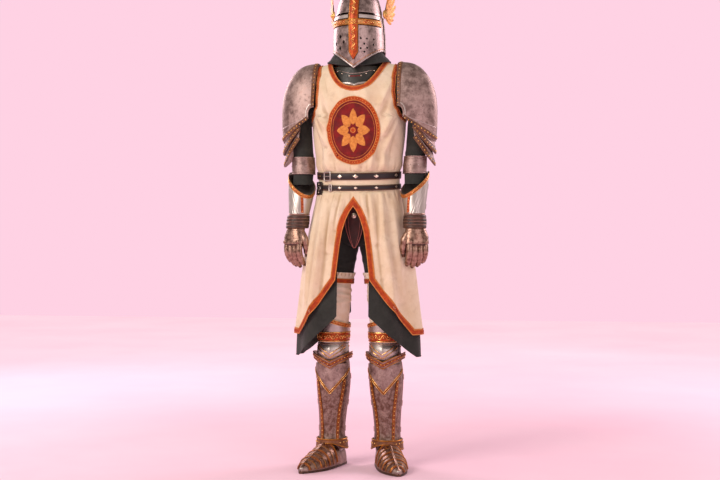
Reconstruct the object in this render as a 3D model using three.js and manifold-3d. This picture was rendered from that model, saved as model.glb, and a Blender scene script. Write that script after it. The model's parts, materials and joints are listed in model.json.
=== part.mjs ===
// A hollow suit of plate armour with its cloth surcoat, standing on its own sabatons.
// Millimetres, +Z up. The suit faces -Y, and its own left side is +X.
//
// Every cloth or plate piece is a thin closed wall on a surface that short tables describe.
// Angles round the body or a limb start at the front (-Y) and turn towards +X.

import * as THREE from 'three';
import { mergeVertices } from 'three/addons/utils/BufferGeometryUtils.js';
import Module from 'manifold-3d';

const wasm = await Module();
wasm.setup();

// ---------------------------------------------------------------- driving dimensions

const GAP = 0.4; // between neighbouring pieces
const CLOTH = 2; // wall of woven cloth
const PLATE = 2.2; // wall of steel plate
const LEATHER = 3; // belts and straps
const BRAID = 1.6; // woven braid sewn on an edge

const BODY_SHIFT_Y = 21.8; // brings the middle of the whole suit over the origin

const CHEST_TOP = 1380; // height where the chest starts to round over the shoulders
const SHOULDER_ARC = 200; // way up from there, over the cloth, to the shoulder ridge
const SHOULDER_RIDGE = 1556; // height of the ridge at the middle, before its slope
const SHOULDER_SLOPE = 0.215; // fall of the ridge for each millimetre outwards
const HEM = 505; // level stretch of the surcoat's hem
const FOLD_DEPTH = 9; // skirt folds at the hem
const FOLD_START = 1040; // folds grow from here down

const NECK_HALF = 112; // neckline's half width at the shoulder
const NECK_FRONT = 1424; // neckline's lowest point in front
const NECK_BACK = 1500; // and behind
const NECK_BRAID = 19;
const ARMHOLE_BRAID = 17;
const HEM_BRAID = 23;

const CUT_DEPTH = 260; // cutters reach this far in front of and behind the middle
const CUT_TOP = 1640; // and this high, clear above the shoulders
const CUT_SIDE = 300; // and this far out, clear beside the skirt
const SEAM = 90; // angle where the front and back panels meet under the arms
const ARMHOLE_DRAWN = { from: -58, to: -30, angle: 70 }; // over this way up, the panel narrows to this angle

const BADGE_CENTRE = 1268;
const BADGE_HALF_WIDTH = 98;
const BADGE_HALF_HEIGHT = 128;

const UPPER_BELT = { low: 1083, high: 1110, lift: 1.4 };
const LOWER_BELT = { low: 1043, high: 1063, lift: 1.4 };
const BELT_RISE = 11; // a belt sits this much higher at the sides

const UNDER_SKIRT = { inner: 66, tip: 577, side: 238, low: 424, high: 1035, inset: 7.5, angle: 78 };
const LOIN_FLAP = { front: 107, drop: 5, bow: 4, low: 826, high: 993 };

const BAND_LOW = 1662; // ornamented band round the helm
const BAND_HIGH = 1684;
const BROW_HIGH = 1702.8; // top of the brow bars, and of the face plate
const CROWN_LOW = 1703.3;
const SIGHT_HIGH = 1710.5;
const UPRIGHT_HALF = 16;
const CHIN_POINT = 1500;
const HELM_SIDE_LOW = 1573;

const SIGHT = { near: 9, far: 72 }; // each sight slit's ends, from the middle
const WING = { root: 16, reach: 22, thick: 3, turn: 71, x: 97, y: 2, z: 1716 };
const COIF = { low: 1511, sideRise: 25, high: 1602 };
const GORGET = { low: 1502, high: 1514, frontDrop: 82, backDrop: 12, wide: 107, front: 108, back: 80 };

const FOOT_YAW = 19; // degrees that each toe turns out
const ANKLE = { x: 107, y: 8 };

// ---------------------------------------------------------------- tables

// The surcoat's sections: half width, and depth in front of and behind the middle.
const BODY = [
  { z: 415, wide: 249, front: 186, back: 194 },
  { z: 505, wide: 245, front: 180, back: 187 },
  { z: 627, wide: 230, front: 169, back: 173 },
  { z: 741, wide: 217, front: 158, back: 158 },
  { z: 836, wide: 204, front: 148, back: 146 },
  { z: 970, wide: 176, front: 131, back: 124 },
  { z: 1050, wide: 158, front: 119, back: 108 },
  { z: 1120, wide: 158, front: 118, back: 106 },
  { z: 1200, wide: 170, front: 126, back: 112 },
  { z: 1273, wide: 178, front: 130, back: 117 },
  { z: 1380, wide: 182, front: 128, back: 118 },
];

// The helm's sections. The ridge stands proud down the middle of the face.
const HELM = [
  { z: 1495, wide: 92, front: 112, back: 108, ridge: 8 },
  { z: 1573, wide: 97, front: 120, back: 118, ridge: 9 },
  { z: 1640, wide: 96, front: 122, back: 122, ridge: 9 },
  { z: 1700, wide: 89, front: 118, back: 120, ridge: 8 },
  { z: 1767, wide: 74, front: 98, back: 102, ridge: 6 },
  { z: 1805, wide: 55, front: 74, back: 78, ridge: 4 },
  { z: 1832, wide: 33, front: 44, back: 47, ridge: 2 },
  { z: 1850, wide: 0, front: 0, back: 0, ridge: 0 },
];

// The loin flap's half width.
const LOIN_HALF = [
  { z: LOIN_FLAP.low, half: 3 },
  { z: 860, half: 20 },
  { z: 905, half: 34 },
  { z: LOIN_FLAP.high, half: 40 },
];

// The coif's half width and depths, from its spread lower edge up to the top.
const COIF_SECTIONS = [
  { part: 0, wide: 122, front: 104, back: 104 },
  { part: 0.4, wide: 99, front: 99, back: 98 },
  { part: 0.72, wide: 82, front: 92, back: 90 },
  { part: 1, wide: 76, front: 86, back: 86 },
];

// Half width of the split in the skirt, from its apex down to the slanting hem.
const SPLIT = [
  { z: 984, half: 0 },
  { z: 966, half: 13 },
  { z: 935, half: 27 },
  { z: 893, half: 40 },
  { z: 836, half: 49 },
  { z: 779, half: 56 },
  { z: 711, half: 64 },
  { z: HEM, half: 215 },
];

// Edge of the armhole, from over the shoulder to under the arm.
const ARMHOLE = [
  { x: 158, z: 1570 },
  { x: 158, z: 1522 },
  { x: 150, z: 1480 },
  { x: 147, z: 1440 },
  { x: 147, z: 1400 },
  { x: 153, z: 1362 },
  { x: 168, z: 1332 },
  { x: 184, z: 1320 },
  { x: 230, z: 1320 },
];

// Ridge line of the pauldron from its inner edge over the shoulder to its lower edge.
const PAULDRON_RIDGE = [
  { x: 151, z: 1533 },
  { x: 178, z: 1534 },
  { x: 211, z: 1527 },
  { x: 243, z: 1507 },
  { x: 270, z: 1472 },
  { x: 289, z: 1428 },
  { x: 298, z: 1380 },
  { x: 300, z: 1325 },
  { x: 298, z: 1275 },
  { x: 294, z: 1231 },
];
const PAULDRON_PIVOT = { x: 161, z: 1332, deep: 90 };

// Lames under the pauldron: the ridge's upper and lower end, and the pivots they fan from.
const LAMES = [
  { topX: 285, topZ: 1262, lowX: 294, lowZ: 1184, innerX: 196, innerTop: 1324, innerLow: 1302, deep: 74 },
  { topX: 280, topZ: 1204, lowX: 291, lowZ: 1140, innerX: 201, innerTop: 1308, innerLow: 1266, deep: 65 },
];

// Limbs as stacks of oval sections: middle, half width, half depth, and tilt about Y in degrees.
const SLEEVE = [
  { x: 168, y: 0, z: 1446, wide: 58, deep: 58, tilt: 62 },
  { x: 198, y: 2, z: 1412, wide: 54, deep: 56, tilt: 42 },
  { x: 226, y: 4, z: 1352, wide: 40, deep: 51, tilt: 12 },
  { x: 223, y: 4, z: 1280, wide: 38, deep: 46, tilt: 0 },
  { x: 218, y: 0, z: 1200, wide: 38, deep: 44, tilt: 0 },
  { x: 214, y: -8, z: 1130, wide: 38, deep: 41, tilt: 0 },
  { x: 216, y: -22, z: 1070, wide: 38, deep: 39, tilt: 0 },
];
const REREBRACE = [
  { x: 214, y: -10, z: 1110, wide: 44, deep: 46, tilt: 0 },
  { x: 215, y: -6, z: 1140, wide: 45, deep: 47, tilt: 0 },
  { x: 217, y: -2, z: 1177, wide: 43, deep: 48, tilt: 0 },
];
const VAMBRACE = [
  { x: 221, y: -62, z: 954, wide: 38, deep: 41, tilt: 0 },
  { x: 219, y: -52, z: 990, wide: 43, deep: 46, tilt: 0 },
  { x: 217, y: -38, z: 1037, wide: 49, deep: 51, tilt: 0 },
  { x: 216, y: -27, z: 1075, wide: 52, deep: 54, tilt: 0 },
  { x: 214, y: -15, z: 1123, wide: 55, deep: 60, tilt: 0 },
];
const WRIST_BAND = [
  { x: 224, y: -79, z: 904, wide: 42, deep: 39, tilt: 0 },
  { x: 223, y: -70, z: 929, wide: 43, deep: 41, tilt: 0 },
  { x: 222, y: -63, z: 953, wide: 41, deep: 42, tilt: 0 },
];

const TROUSER_HIPS = [
  { x: 0, y: 2, z: 834, wide: 112, deep: 56, tilt: 0 },
  { x: 0, y: 2, z: 848, wide: 146, deep: 80, tilt: 0 },
  { x: 0, y: 2, z: 890, wide: 157, deep: 97, tilt: 0 },
  { x: 0, y: 1, z: 950, wide: 154, deep: 99, tilt: 0 },
  { x: 0, y: -1, z: 1040, wide: 143, deep: 97, tilt: 0 },
];
const TROUSER_LEG = [
  { x: 90, y: 0, z: 700, wide: 62, deep: 71, tilt: 0 },
  { x: 88, y: 0, z: 750, wide: 64, deep: 75, tilt: 0 },
  { x: 86, y: 0, z: 810, wide: 66, deep: 80, tilt: 0 },
  { x: 84, y: 1, z: 880, wide: 66, deep: 84, tilt: 0 },
];
const THIGH_CUFF = [
  { x: 90, y: 0, z: 692, wide: 67, deep: 76, tilt: 0 },
  { x: 89, y: 0, z: 720, wide: 68, deep: 78, tilt: 0 },
  { x: 88, y: 0, z: 745, wide: 70, deep: 81, tilt: 0 },
];
const HOSE = [
  { x: 101, y: 2, z: 385, wide: 50, deep: 54, tilt: 0 },
  { x: 100, y: 0, z: 440, wide: 50, deep: 54, tilt: 0 },
  { x: 99, y: 0, z: 500, wide: 53, deep: 57, tilt: 0 },
  { x: 96, y: 0, z: 560, wide: 56, deep: 61, tilt: 0 },
  { x: 92, y: 0, z: 640, wide: 58, deep: 65, tilt: 0 },
  { x: 90, y: 0, z: 722, wide: 58, deep: 66, tilt: 0 },
];
const CUISSE = [
  { x: 99, y: -2, z: 472, wide: 59, deep: 64, tilt: 0 },
  { x: 97, y: -1, z: 520, wide: 61, deep: 67, tilt: 0 },
  { x: 95, y: 0, z: 580, wide: 62, deep: 68, tilt: 0 },
];
const POLEYN = [
  { x: 101, y: -2, z: 408, wide: 59, deep: 66, tilt: 0 },
  { x: 100, y: -5, z: 432, wide: 61, deep: 74, tilt: 0 },
  { x: 100, y: -5, z: 452, wide: 60, deep: 73, tilt: 0 },
  { x: 99, y: -2, z: 471, wide: 58, deep: 65, tilt: 0 },
];
const GREAVE_COLLAR = [
  { x: 102, y: 4, z: 373, wide: 68, deep: 71, tilt: 0 },
  { x: 102, y: 1, z: 405, wide: 72, deep: 76, tilt: 0 },
  { x: 102, y: -1, z: 437, wide: 75, deep: 81, tilt: 0 },
];
const GREAVE = [
  { x: 107, y: 8, z: 92, wide: 52, deep: 53, tilt: 0 },
  { x: 107, y: 10, z: 133, wide: 49, deep: 50, tilt: 0 },
  { x: 105, y: 12, z: 209, wide: 54, deep: 58, tilt: 0 },
  { x: 103, y: 13, z: 270, wide: 61, deep: 67, tilt: 0 },
  { x: 102, y: 12, z: 323, wide: 65, deep: 70, tilt: 0 },
  { x: 102, y: 8, z: 365, wide: 64, deep: 67, tilt: 0 },
  { x: 101, y: 4, z: 403, wide: 61, deep: 63, tilt: 0 },
];
const ANKLE_STRAP = [
  { x: 107, y: 8, z: 62, wide: 62, deep: 66, tilt: 0 },
  { x: 107, y: 8, z: 85, wide: 61, deep: 63, tilt: 0 },
  { x: 107, y: 8, z: 107, wide: 57, deep: 59, tilt: 0 },
];
const ANKLE_COLLAR = [
  { x: 107, y: 8, z: 60, wide: 44, deep: 44, tilt: 0 },
  { x: 107, y: 8, z: 118, wide: 43, deep: 43, tilt: 0 },
];

// The sabaton along its own length, from the heel to the pointed toe.
const SABATON = [
  { along: -62, half: 22, high: 60 },
  { along: -52, half: 35, high: 80 },
  { along: -25, half: 44, high: 96 },
  { along: 45, half: 50, high: 92 },
  { along: 98, half: 52, high: 70 },
  { along: 148, half: 47, high: 52 },
  { along: 196, half: 29, high: 36 },
  { along: 232, half: 5, high: 18 },
];
const SOLE = 8; // height of the sabaton's straight sides above the ground

// The hand in its own frame: across towards the little finger, out of the back of the hand, height.
const HAND = { x: 233, y: -89, turn: 30 };
const PALM = [
  { across: 2, out: -23, z: 938, half: 31, deep: 28 },
  { across: -1, out: -12, z: 905, half: 35, deep: 27 },
  { across: 0, out: -1, z: 872, half: 41, deep: 22 },
  { across: -1, out: 6, z: 846, half: 42, deep: 16 },
  { across: -1, out: 6, z: 835, half: 38, deep: 11 },
];
const FINGERS = [
  { across: -31, length: 80, radius: 10.5 },
  { across: -10.5, length: 87, radius: 11 },
  { across: 10.5, length: 83, radius: 10.5 },
  { across: 31, length: 70, radius: 9.5 },
];
const FINGER_CURL = [
  { part: 0, out: 6, taper: 1 },
  { part: 0.42, out: 5, taper: 1 },
  { part: 0.78, out: -9, taper: 0.92 },
  { part: 1, out: -24, taper: 0.55 },
];
const THUMB = [
  { across: -28, out: -10, z: 890, radius: 13 },
  { across: -45, out: -10, z: 860, radius: 13 },
  { across: -48, out: -16, z: 828, radius: 11 },
  { across: -43, out: -24, z: 798, radius: 7 },
];

// Wing feathers: the angle above level and the length of each.
const FEATHERS = [
  { angle: -32, length: 62 },
  { angle: -13, length: 74 },
  { angle: 5, length: 88 },
  { angle: 22, length: 104 },
  { angle: 38, length: 122 },
  { angle: 53, length: 140 },
  { angle: 67, length: 156 },
];

const FINISHES = {
  steel: { color: 0x8f8583, roughness: 0.42, metalness: 0.9 },
  brightSteel: { color: 0xb9aaa2, roughness: 0.32, metalness: 0.95 },
  gilt: { color: 0xa8682c, roughness: 0.38, metalness: 0.9 },
  ornament: { color: 0xc4560f, roughness: 0.5, metalness: 0.3 },
  cream: { color: 0xe5d0b0, roughness: 0.9, metalness: 0 },
  braid: { color: 0xc4560f, roughness: 0.8, metalness: 0 },
  darkCloth: { color: 0x2e302c, roughness: 0.92, metalness: 0 },
  darkRed: { color: 0x8e0b0b, roughness: 0.85, metalness: 0 },
  leather: { color: 0x4a2a18, roughness: 0.6, metalness: 0 },
  belt: { color: 0x1e0a08, roughness: 0.5, metalness: 0 },
};

// ---------------------------------------------------------------- working tools

const degrees = THREE.MathUtils.degToRad;

/** Evenly spaced numbers from first to last, both included. */
function spread(first, last, steps) {
  return Array.from({ length: steps + 1 }, (_, i) => first + ((last - first) * i) / steps);
}

/** Angles for a full turn, the last one left out because the ring closes on the first. */
function turn(sides) {
  return spread(-180, 180, sides).slice(0, sides).map(degrees);
}

/** A smooth reading of one column of a table whose rows rise in the key column. */
function read(table, column, value, key = 'z') {
  const last = table.length - 1;
  if (value <= table[0][key]) {
    return table[0][column];
  }
  if (value >= table[last][key]) {
    return table[last][column];
  }
  const i = table.findIndex((row) => row[key] > value) - 1;
  const slope = (k) => {
    const before = table[Math.max(k - 1, 0)];
    const after = table[Math.min(k + 1, last)];
    return (after[column] - before[column]) / (after[key] - before[key]);
  };
  const span = table[i + 1][key] - table[i][key];
  const t = (value - table[i][key]) / span;
  const keep = (1 + 2 * t) * (1 - t) ** 2;
  const rise = t * (1 - t) ** 2 * slope(i) + t * t * (t - 1) * slope(i + 1);
  return keep * table[i][column] + (1 - keep) * table[i + 1][column] + rise * span;
}

/** Closed geometry from points and triangles, turned so that its faces point out. */
function closed(points, triangles) {
  let volume = 0;
  for (const [a, b, c] of triangles) {
    volume += points[a].dot(new THREE.Vector3().crossVectors(points[b], points[c]));
  }
  const order = volume < 0 ? triangles.map(([a, b, c]) => [a, c, b]) : triangles;
  const geometry = new THREE.BufferGeometry().setFromPoints(points);
  geometry.setIndex(order.flat());
  return geometry;
}

/**
 * A closed wall on the surface point(u, v), from lift to lift + thick along its outward normal.
 * With ring the u values close on themselves; with pole the last v is a single point.
 */
function wall(point, { us, vs, ring = false, pole = false, lift = 0, thick }) {
  const columns = us.length;
  const rows = vs.length;
  const grid = us.map((u) => vs.map((v) => point(u, v)));
  const normalAt = (i, j) => {
    if (pole && j === rows - 1) {
      return new THREE.Vector3(0, 0, 1);
    }
    const west = grid[ring ? (i + columns - 1) % columns : Math.max(i - 1, 0)][j];
    const east = grid[ring ? (i + 1) % columns : Math.min(i + 1, columns - 1)][j];
    const along = east.clone().sub(west);
    const up = grid[i][Math.min(j + 1, rows - 1)].clone().sub(grid[i][Math.max(j - 1, 0)]);
    return along.cross(up).normalize();
  };
  const points = [];
  for (const distance of [lift, lift + thick]) {
    for (let i = 0; i < columns; i += 1) {
      for (let j = 0; j < rows; j += 1) {
        points.push(grid[i][j].clone().addScaledVector(normalAt(i, j), distance));
      }
    }
  }
  const at = (skin, i, j) => {
    const column = pole && j === rows - 1 ? 0 : i % columns;
    return skin * columns * rows + column * rows + j;
  };
  const triangles = [];
  const quad = (a, b, c, d) => {
    for (const corner of [[a, b, c], [a, c, d]]) {
      if (new Set(corner).size === 3) {
        triangles.push(corner);
      }
    }
  };
  const cells = ring ? columns : columns - 1;
  for (let i = 0; i < cells; i += 1) {
    for (let j = 0; j < rows - 1; j += 1) {
      quad(at(1, i, j), at(1, i + 1, j), at(1, i + 1, j + 1), at(1, i, j + 1));
      quad(at(0, i, j), at(0, i, j + 1), at(0, i + 1, j + 1), at(0, i + 1, j));
    }
    quad(at(1, i + 1, 0), at(1, i, 0), at(0, i, 0), at(0, i + 1, 0));
    if (!pole) {
      const top = rows - 1;
      quad(at(1, i, top), at(1, i + 1, top), at(0, i + 1, top), at(0, i, top));
    }
  }
  if (!ring) {
    const end = columns - 1;
    for (let j = 0; j < rows - 1; j += 1) {
      quad(at(1, 0, j), at(1, 0, j + 1), at(0, 0, j + 1), at(0, 0, j));
      quad(at(1, end, j + 1), at(1, end, j), at(0, end, j), at(0, end, j + 1));
    }
  }
  return closed(points, triangles);
}

/** A solid through a stack of rings that all have the same number of points. */
function loft(rings) {
  const sides = rings[0].length;
  const points = rings.flat();
  const triangles = [];
  for (let k = 0; k < rings.length - 1; k += 1) {
    for (let i = 0; i < sides; i += 1) {
      const a = k * sides + i;
      const b = k * sides + ((i + 1) % sides);
      triangles.push([a, b, b + sides], [a, b + sides, a + sides]);
    }
  }
  for (const k of [0, rings.length - 1]) {
    const middle = points.length;
    const sum = rings[k].reduce((total, point) => total.add(point), new THREE.Vector3());
    points.push(sum.divideScalar(sides));
    for (let i = 0; i < sides; i += 1) {
      const a = k * sides + i;
      const b = k * sides + ((i + 1) % sides);
      triangles.push(k === 0 ? [b, a, middle] : [a, b, middle]);
    }
  }
  return closed(points, triangles);
}

/** The other side's copy of a piece. */
function mirrored(geometry) {
  const copy = geometry.clone();
  copy.scale(-1, 1, 1);
  const index = copy.index.array;
  for (let i = 0; i < index.length; i += 3) {
    [index[i + 1], index[i + 2]] = [index[i + 2], index[i + 1]];
  }
  return copy;
}

/** A solid for cutting and joining, from closed geometry. */
function solid(geometry) {
  const bare = geometry.clone();
  bare.deleteAttribute('normal');
  bare.deleteAttribute('uv');
  const merged = mergeVertices(bare, 1e-4);
  return new wasm.Manifold(new wasm.Mesh({
    numProp: 3,
    vertProperties: Float32Array.from(merged.attributes.position.array),
    triVerts: Uint32Array.from(merged.index.array),
  }));
}

/** Geometry from a solid that has been cut or joined. */
function geometryOf(cut) {
  const mesh = cut.getMesh();
  const geometry = new THREE.BufferGeometry();
  geometry.setAttribute('position', new THREE.BufferAttribute(Float32Array.from(mesh.vertProperties), 3));
  geometry.setIndex(new THREE.BufferAttribute(Uint32Array.from(mesh.triVerts), 1));
  return geometry;
}

/** A prism along Y whose outline is given in X and Z, between two depths. */
function prism(outline, from, to) {
  const shape = new THREE.Shape(outline.map(({ x, z }) => new THREE.Vector2(x, z)));
  const geometry = new THREE.ExtrudeGeometry(shape, { depth: to - from, bevelEnabled: false });
  geometry.rotateX(Math.PI / 2);
  geometry.translate(0, to, 0);
  return solid(geometry);
}

/** The outline between a line and its copy moved sideways, to the left of the way it runs. */
function band(line, width) {
  const moved = line.map((point, i) => {
    const before = line[Math.max(i - 1, 0)];
    const after = line[Math.min(i + 1, line.length - 1)];
    const into = new THREE.Vector2(point.x - before.x, point.z - before.z).normalize();
    const out = new THREE.Vector2(after.x - point.x, after.z - point.z).normalize();
    const mean = into.clone().add(out).normalize();
    const side = out.length() ? out : into;
    const reach = width / Math.max(0.35, Math.abs(mean.dot(side)));
    return { x: point.x - mean.y * reach, z: point.z + mean.x * reach };
  });
  return [...line, ...moved.reverse()];
}

/** The same line for the other side, run the other way. */
function flipped(line) {
  return line.map(({ x, z }) => ({ x: -x, z })).reverse();
}

// ---------------------------------------------------------------- surfaces

/** How far the skirt's folds stand out at an angle and height. */
function foldAt(phi, z) {
  const grown = THREE.MathUtils.smoothstep(FOLD_START - z, 0, 420);
  return FOLD_DEPTH * grown * (0.6 * Math.cos(9 * phi + 0.6) + 0.4 * Math.cos(5 * phi - 1.1));
}

/**
 * The surcoat's outer face. The way h is the height below the chest's top, and above it the way over the
 * cloth to the shoulder ridge, where the front meets the back.
 */
function bodyPoint(phi, h) {
  const quarter = (Math.max(h, 0) / SHOULDER_ARC) * (Math.PI / 2);
  const level = Math.min(CHEST_TOP + h, CHEST_TOP);
  const side = Math.sin(phi);
  const wide = read(BODY, 'wide', level);
  const deep = read(BODY, Math.cos(phi) > 0 ? 'front' : 'back', level);
  const fold = foldAt(phi, level);
  const x = (wide + fold) * side;
  const ridge = SHOULDER_RIDGE - SHOULDER_SLOPE * Math.abs(x);
  const z = level + (ridge - CHEST_TOP) * Math.sin(quarter);
  return new THREE.Vector3(x, -(deep + fold) * Math.cos(phi) * Math.cos(quarter), z);
}

/** The helm's outer face. */
function helmPoint(phi, z) {
  const keel = read(HELM, 'ridge', z) * Math.exp(-((phi / degrees(13)) ** 2));
  const deep = read(HELM, Math.cos(phi) > 0 ? 'front' : 'back', z) + keel;
  return new THREE.Vector3(read(HELM, 'wide', z) * Math.sin(phi), -deep * Math.cos(phi), z);
}

/** A point on a limb section, before its tilt. */
function sectionPoint(section, angle) {
  const across = section.wide * Math.sin(angle);
  const tilt = degrees(section.tilt);
  return new THREE.Vector3(
    section.x + across * Math.cos(tilt),
    section.y - section.deep * Math.cos(angle),
    section.z + across * Math.sin(tilt),
  );
}

/** The surface of a limb whose sections are level: angle round it and height. */
function limbSurface(table) {
  const columns = ['x', 'y', 'wide', 'deep'];
  return (angle, z) => {
    const section = { z, tilt: 0 };
    for (const column of columns) {
      section[column] = read(table, column, z);
    }
    return sectionPoint(section, angle);
  };
}

/** A limb's solid, its sections moved in by inset and its ends moved out by reach. */
function limbSolid(table, sides, inset = 0, reach = 0) {
  const last = table.length - 1;
  const rings = table.map((row, k) => {
    const shift = (k === 0 ? -reach : 0) + (k === last ? reach : 0);
    const section = { ...row, z: row.z + shift, wide: row.wide - inset, deep: row.deep - inset };
    return turn(sides).map((angle) => sectionPoint(section, angle));
  });
  return solid(loft(rings));
}

// ---------------------------------------------------------------- surcoat

const BACK_TURN = Math.PI;

/** Angles across a panel, symmetric about its middle; the armhole part is drawn in. */
function panelSurface(middle, sideAngle) {
  return (u, h) => {
    const drawnIn = THREE.MathUtils.smoothstep(h, ARMHOLE_DRAWN.from, ARMHOLE_DRAWN.to);
    const reach = THREE.MathUtils.lerp(sideAngle, degrees(ARMHOLE_DRAWN.angle), drawnIn);
    return bodyPoint(middle + u * reach, h);
  };
}

const PANEL_HEIGHTS = [HEM, 640, 770, 880, 970, 1040, 1062, 1085, 1118, 1200, 1273, 1328];
const PANEL_WAY = PANEL_HEIGHTS.map((z) => z - CHEST_TOP).concat([0, 60, 120, 170]);
const FRONT_COLUMNS = 22;
const BACK_COLUMNS = 18;

/** A wall on the front or back panel; joined pieces reach just past both seams. */
function panelWall(middle, lift, thick, joined = false) {
  const seam = joined ? SEAM + 0.25 : SEAM - 0.15;
  const ridge = joined ? SHOULDER_ARC * 1.003 : SHOULDER_ARC * 0.994;
  const surface = panelSurface(middle, degrees(seam));
  return solid(wall(surface, {
    us: spread(-1, 1, middle === 0 ? FRONT_COLUMNS : BACK_COLUMNS),
    vs: [...PANEL_WAY, ridge],
    lift,
    thick,
  }));
}

/** The neckline as a line in X and Z, from the suit's right to its left. */
function neckLine(lowest) {
  const high = SHOULDER_RIDGE - SHOULDER_SLOPE * NECK_HALF + 4;
  return spread(-1.04, 1.04, 12).map((t) => ({
    x: NECK_HALF * t,
    z: lowest + (high - lowest) * Math.abs(t) ** 2.6,
  }));
}

/** The split and hem as one line, from the suit's left round the arch to its right. */
function splitLine() {
  const half = SPLIT.map(({ z, half: x }) => ({ x, z })).reverse();
  const left = [{ x: CUT_SIDE, z: HEM }, ...half];
  return [...left, ...flipped(left).slice(1)];
}

const cutters = {
  neck: (lowest, from, to) => {
    const line = neckLine(lowest);
    const ends = [line[line.length - 1], line[0]];
    return prism([...line, ...ends.map(({ x }) => ({ x, z: CUT_TOP }))], from, to);
  },
  armhole: () => {
    const [first, last] = [ARMHOLE[0], ARMHOLE[ARMHOLE.length - 1]];
    const closing = [{ x: CUT_SIDE, z: last.z }, { x: CUT_SIDE, z: CUT_TOP }, { x: first.x, z: CUT_TOP }];
    return prism([...ARMHOLE, ...closing], -CUT_DEPTH, CUT_DEPTH);
  },
  split: (from, to) => {
    const below = HEM - CUT_DEPTH;
    return prism([...splitLine(), { x: -CUT_SIDE, z: below }, { x: CUT_SIDE, z: below }], from, to);
  },
};

/** The depths, along Y, of the half of the suit that a panel belongs to, just short of its seams. */
function halfDepths(middle) {
  return middle === 0 ? [-CUT_DEPTH, -0.02] : [0.02, CUT_DEPTH];
}

function surcoatPanel(middle) {
  const front = middle === 0;
  const [from, to] = halfDepths(middle);
  const armhole = cutters.armhole();
  const otherArmhole = solid(mirrored(geometryOf(armhole)));
  const panel = panelWall(middle, -CLOTH, CLOTH)
    .subtract(cutters.neck(front ? NECK_FRONT : NECK_BACK, from, to))
    .subtract(armhole)
    .subtract(otherArmhole)
    .subtract(cutters.split(from, to));
  return geometryOf(panel);
}

function neckBraid() {
  const halves = [[0, NECK_FRONT, -CUT_DEPTH, 3], [BACK_TURN, NECK_BACK, -3, CUT_DEPTH]];
  const pieces = halves.map(([middle, low, from, to]) => {
    const outline = band(flipped(neckLine(low)), NECK_BRAID);
    return panelWall(middle, GAP, BRAID, true).intersect(prism(outline, from, to));
  });
  return geometryOf(pieces[0].add(pieces[1]));
}

function armholeBraid(side) {
  const left = band([...ARMHOLE].reverse(), ARMHOLE_BRAID);
  const outline = side > 0 ? left : flipped(left);
  const halves = [[0, -CUT_DEPTH, 3], [BACK_TURN, -3, CUT_DEPTH]];
  const pieces = halves.map(([middle, from, to]) =>
    panelWall(middle, GAP, BRAID, true).intersect(prism(outline, from, to)));
  return geometryOf(pieces[0].add(pieces[1]));
}

function hemBraid(middle) {
  const outline = band([...splitLine()].reverse(), HEM_BRAID);
  const [from, to] = halfDepths(middle);
  return geometryOf(panelWall(middle, GAP, BRAID).intersect(prism(outline, from, to)));
}

/** A piece that lies on the front panel, of the outline given. */
function onFront(outline, lift, thick, hole) {
  let cut = prism(outline, -CUT_DEPTH, -CLOTH);
  if (hole) {
    cut = cut.subtract(prism(hole, -CUT_DEPTH, -CLOTH));
  }
  return geometryOf(panelWall(0, lift, thick).intersect(cut));
}

function badge() {
  const outline = turn(24).map((angle) => ({
    x: BADGE_HALF_WIDTH * Math.cos(angle),
    z: BADGE_CENTRE + BADGE_HALF_HEIGHT * Math.sin(angle),
  }));
  return onFront(outline, GAP, BRAID);
}

/** Height that a belt gains at an angle round the waist. */
function beltRise(phi) {
  return BELT_RISE * Math.min(1, 1 - Math.cos(phi));
}

function belt({ low, high, lift }) {
  const surface = (phi, part) => bodyPoint(phi, low + (high - low) * part + beltRise(phi) - CHEST_TOP);
  const front = spread(-90, 90, FRONT_COLUMNS);
  const back = spread(90, 270, BACK_COLUMNS).slice(1, -1);
  return wall(surface, { us: [...front, ...back].map(degrees), vs: [0, 1], ring: true, lift, thick: LEATHER });
}

function rectangle(left, right, low, high) {
  return [{ x: left, z: low }, { x: right, z: low }, { x: right, z: high }, { x: left, z: high }];
}

function buckle(strap, left, right) {
  const rise = beltRise(Math.asin((left + right) / 2 / 158));
  const outer = rectangle(left, right, strap.low + rise - 4, strap.high + rise + 4);
  const hole = rectangle(left + 5, right - 5, strap.low + rise + 2, strap.high + rise - 2);
  return onFront(outer, strap.lift + LEATHER + 0.7, 3, hole);
}

// ---------------------------------------------------------------- skirt, trousers, loin flap

function underSkirt(side) {
  const surface = (phi, z) => bodyPoint(side * phi, z - CHEST_TOP);
  const { inner, low, high } = UNDER_SKIRT;
  const sheet = solid(wall(surface, {
    us: spread(SEAM - UNDER_SKIRT.angle * side, SEAM + UNDER_SKIRT.angle * side, 13).map(degrees),
    vs: [low, 560, 700, 880, high],
    lift: -UNDER_SKIRT.inset,
    thick: CLOTH,
  }));
  const above = high + CUT_DEPTH;
  const below = low - CUT_DEPTH;
  const outline = [
    { x: -inner, z: above },
    { x: inner, z: above },
    { x: inner, z: UNDER_SKIRT.tip },
    { x: UNDER_SKIRT.side, z: low },
    { x: UNDER_SKIRT.side, z: below },
    { x: -inner, z: below },
  ];
  const cut = side > 0 ? outline : flipped(outline);
  return geometryOf(sheet.subtract(prism(cut, -CUT_DEPTH, CUT_DEPTH)));
}

function trousers() {
  const legs = (inset, reach) => {
    const left = limbSolid(TROUSER_LEG, 12, inset, reach);
    return left.add(solid(mirrored(geometryOf(left))));
  };
  const lifted = TROUSER_HIPS.map((row, k) => ({ ...row, z: row.z + (k === 0 ? CLOTH : 0) }));
  const top = { ...lifted[lifted.length - 1], z: 1060 };
  const outside = limbSolid(TROUSER_HIPS, 18).add(legs(0, 0));
  const inside = limbSolid([...lifted, top], 18, CLOTH).add(legs(CLOTH, 20));
  return geometryOf(outside.subtract(inside));
}

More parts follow.
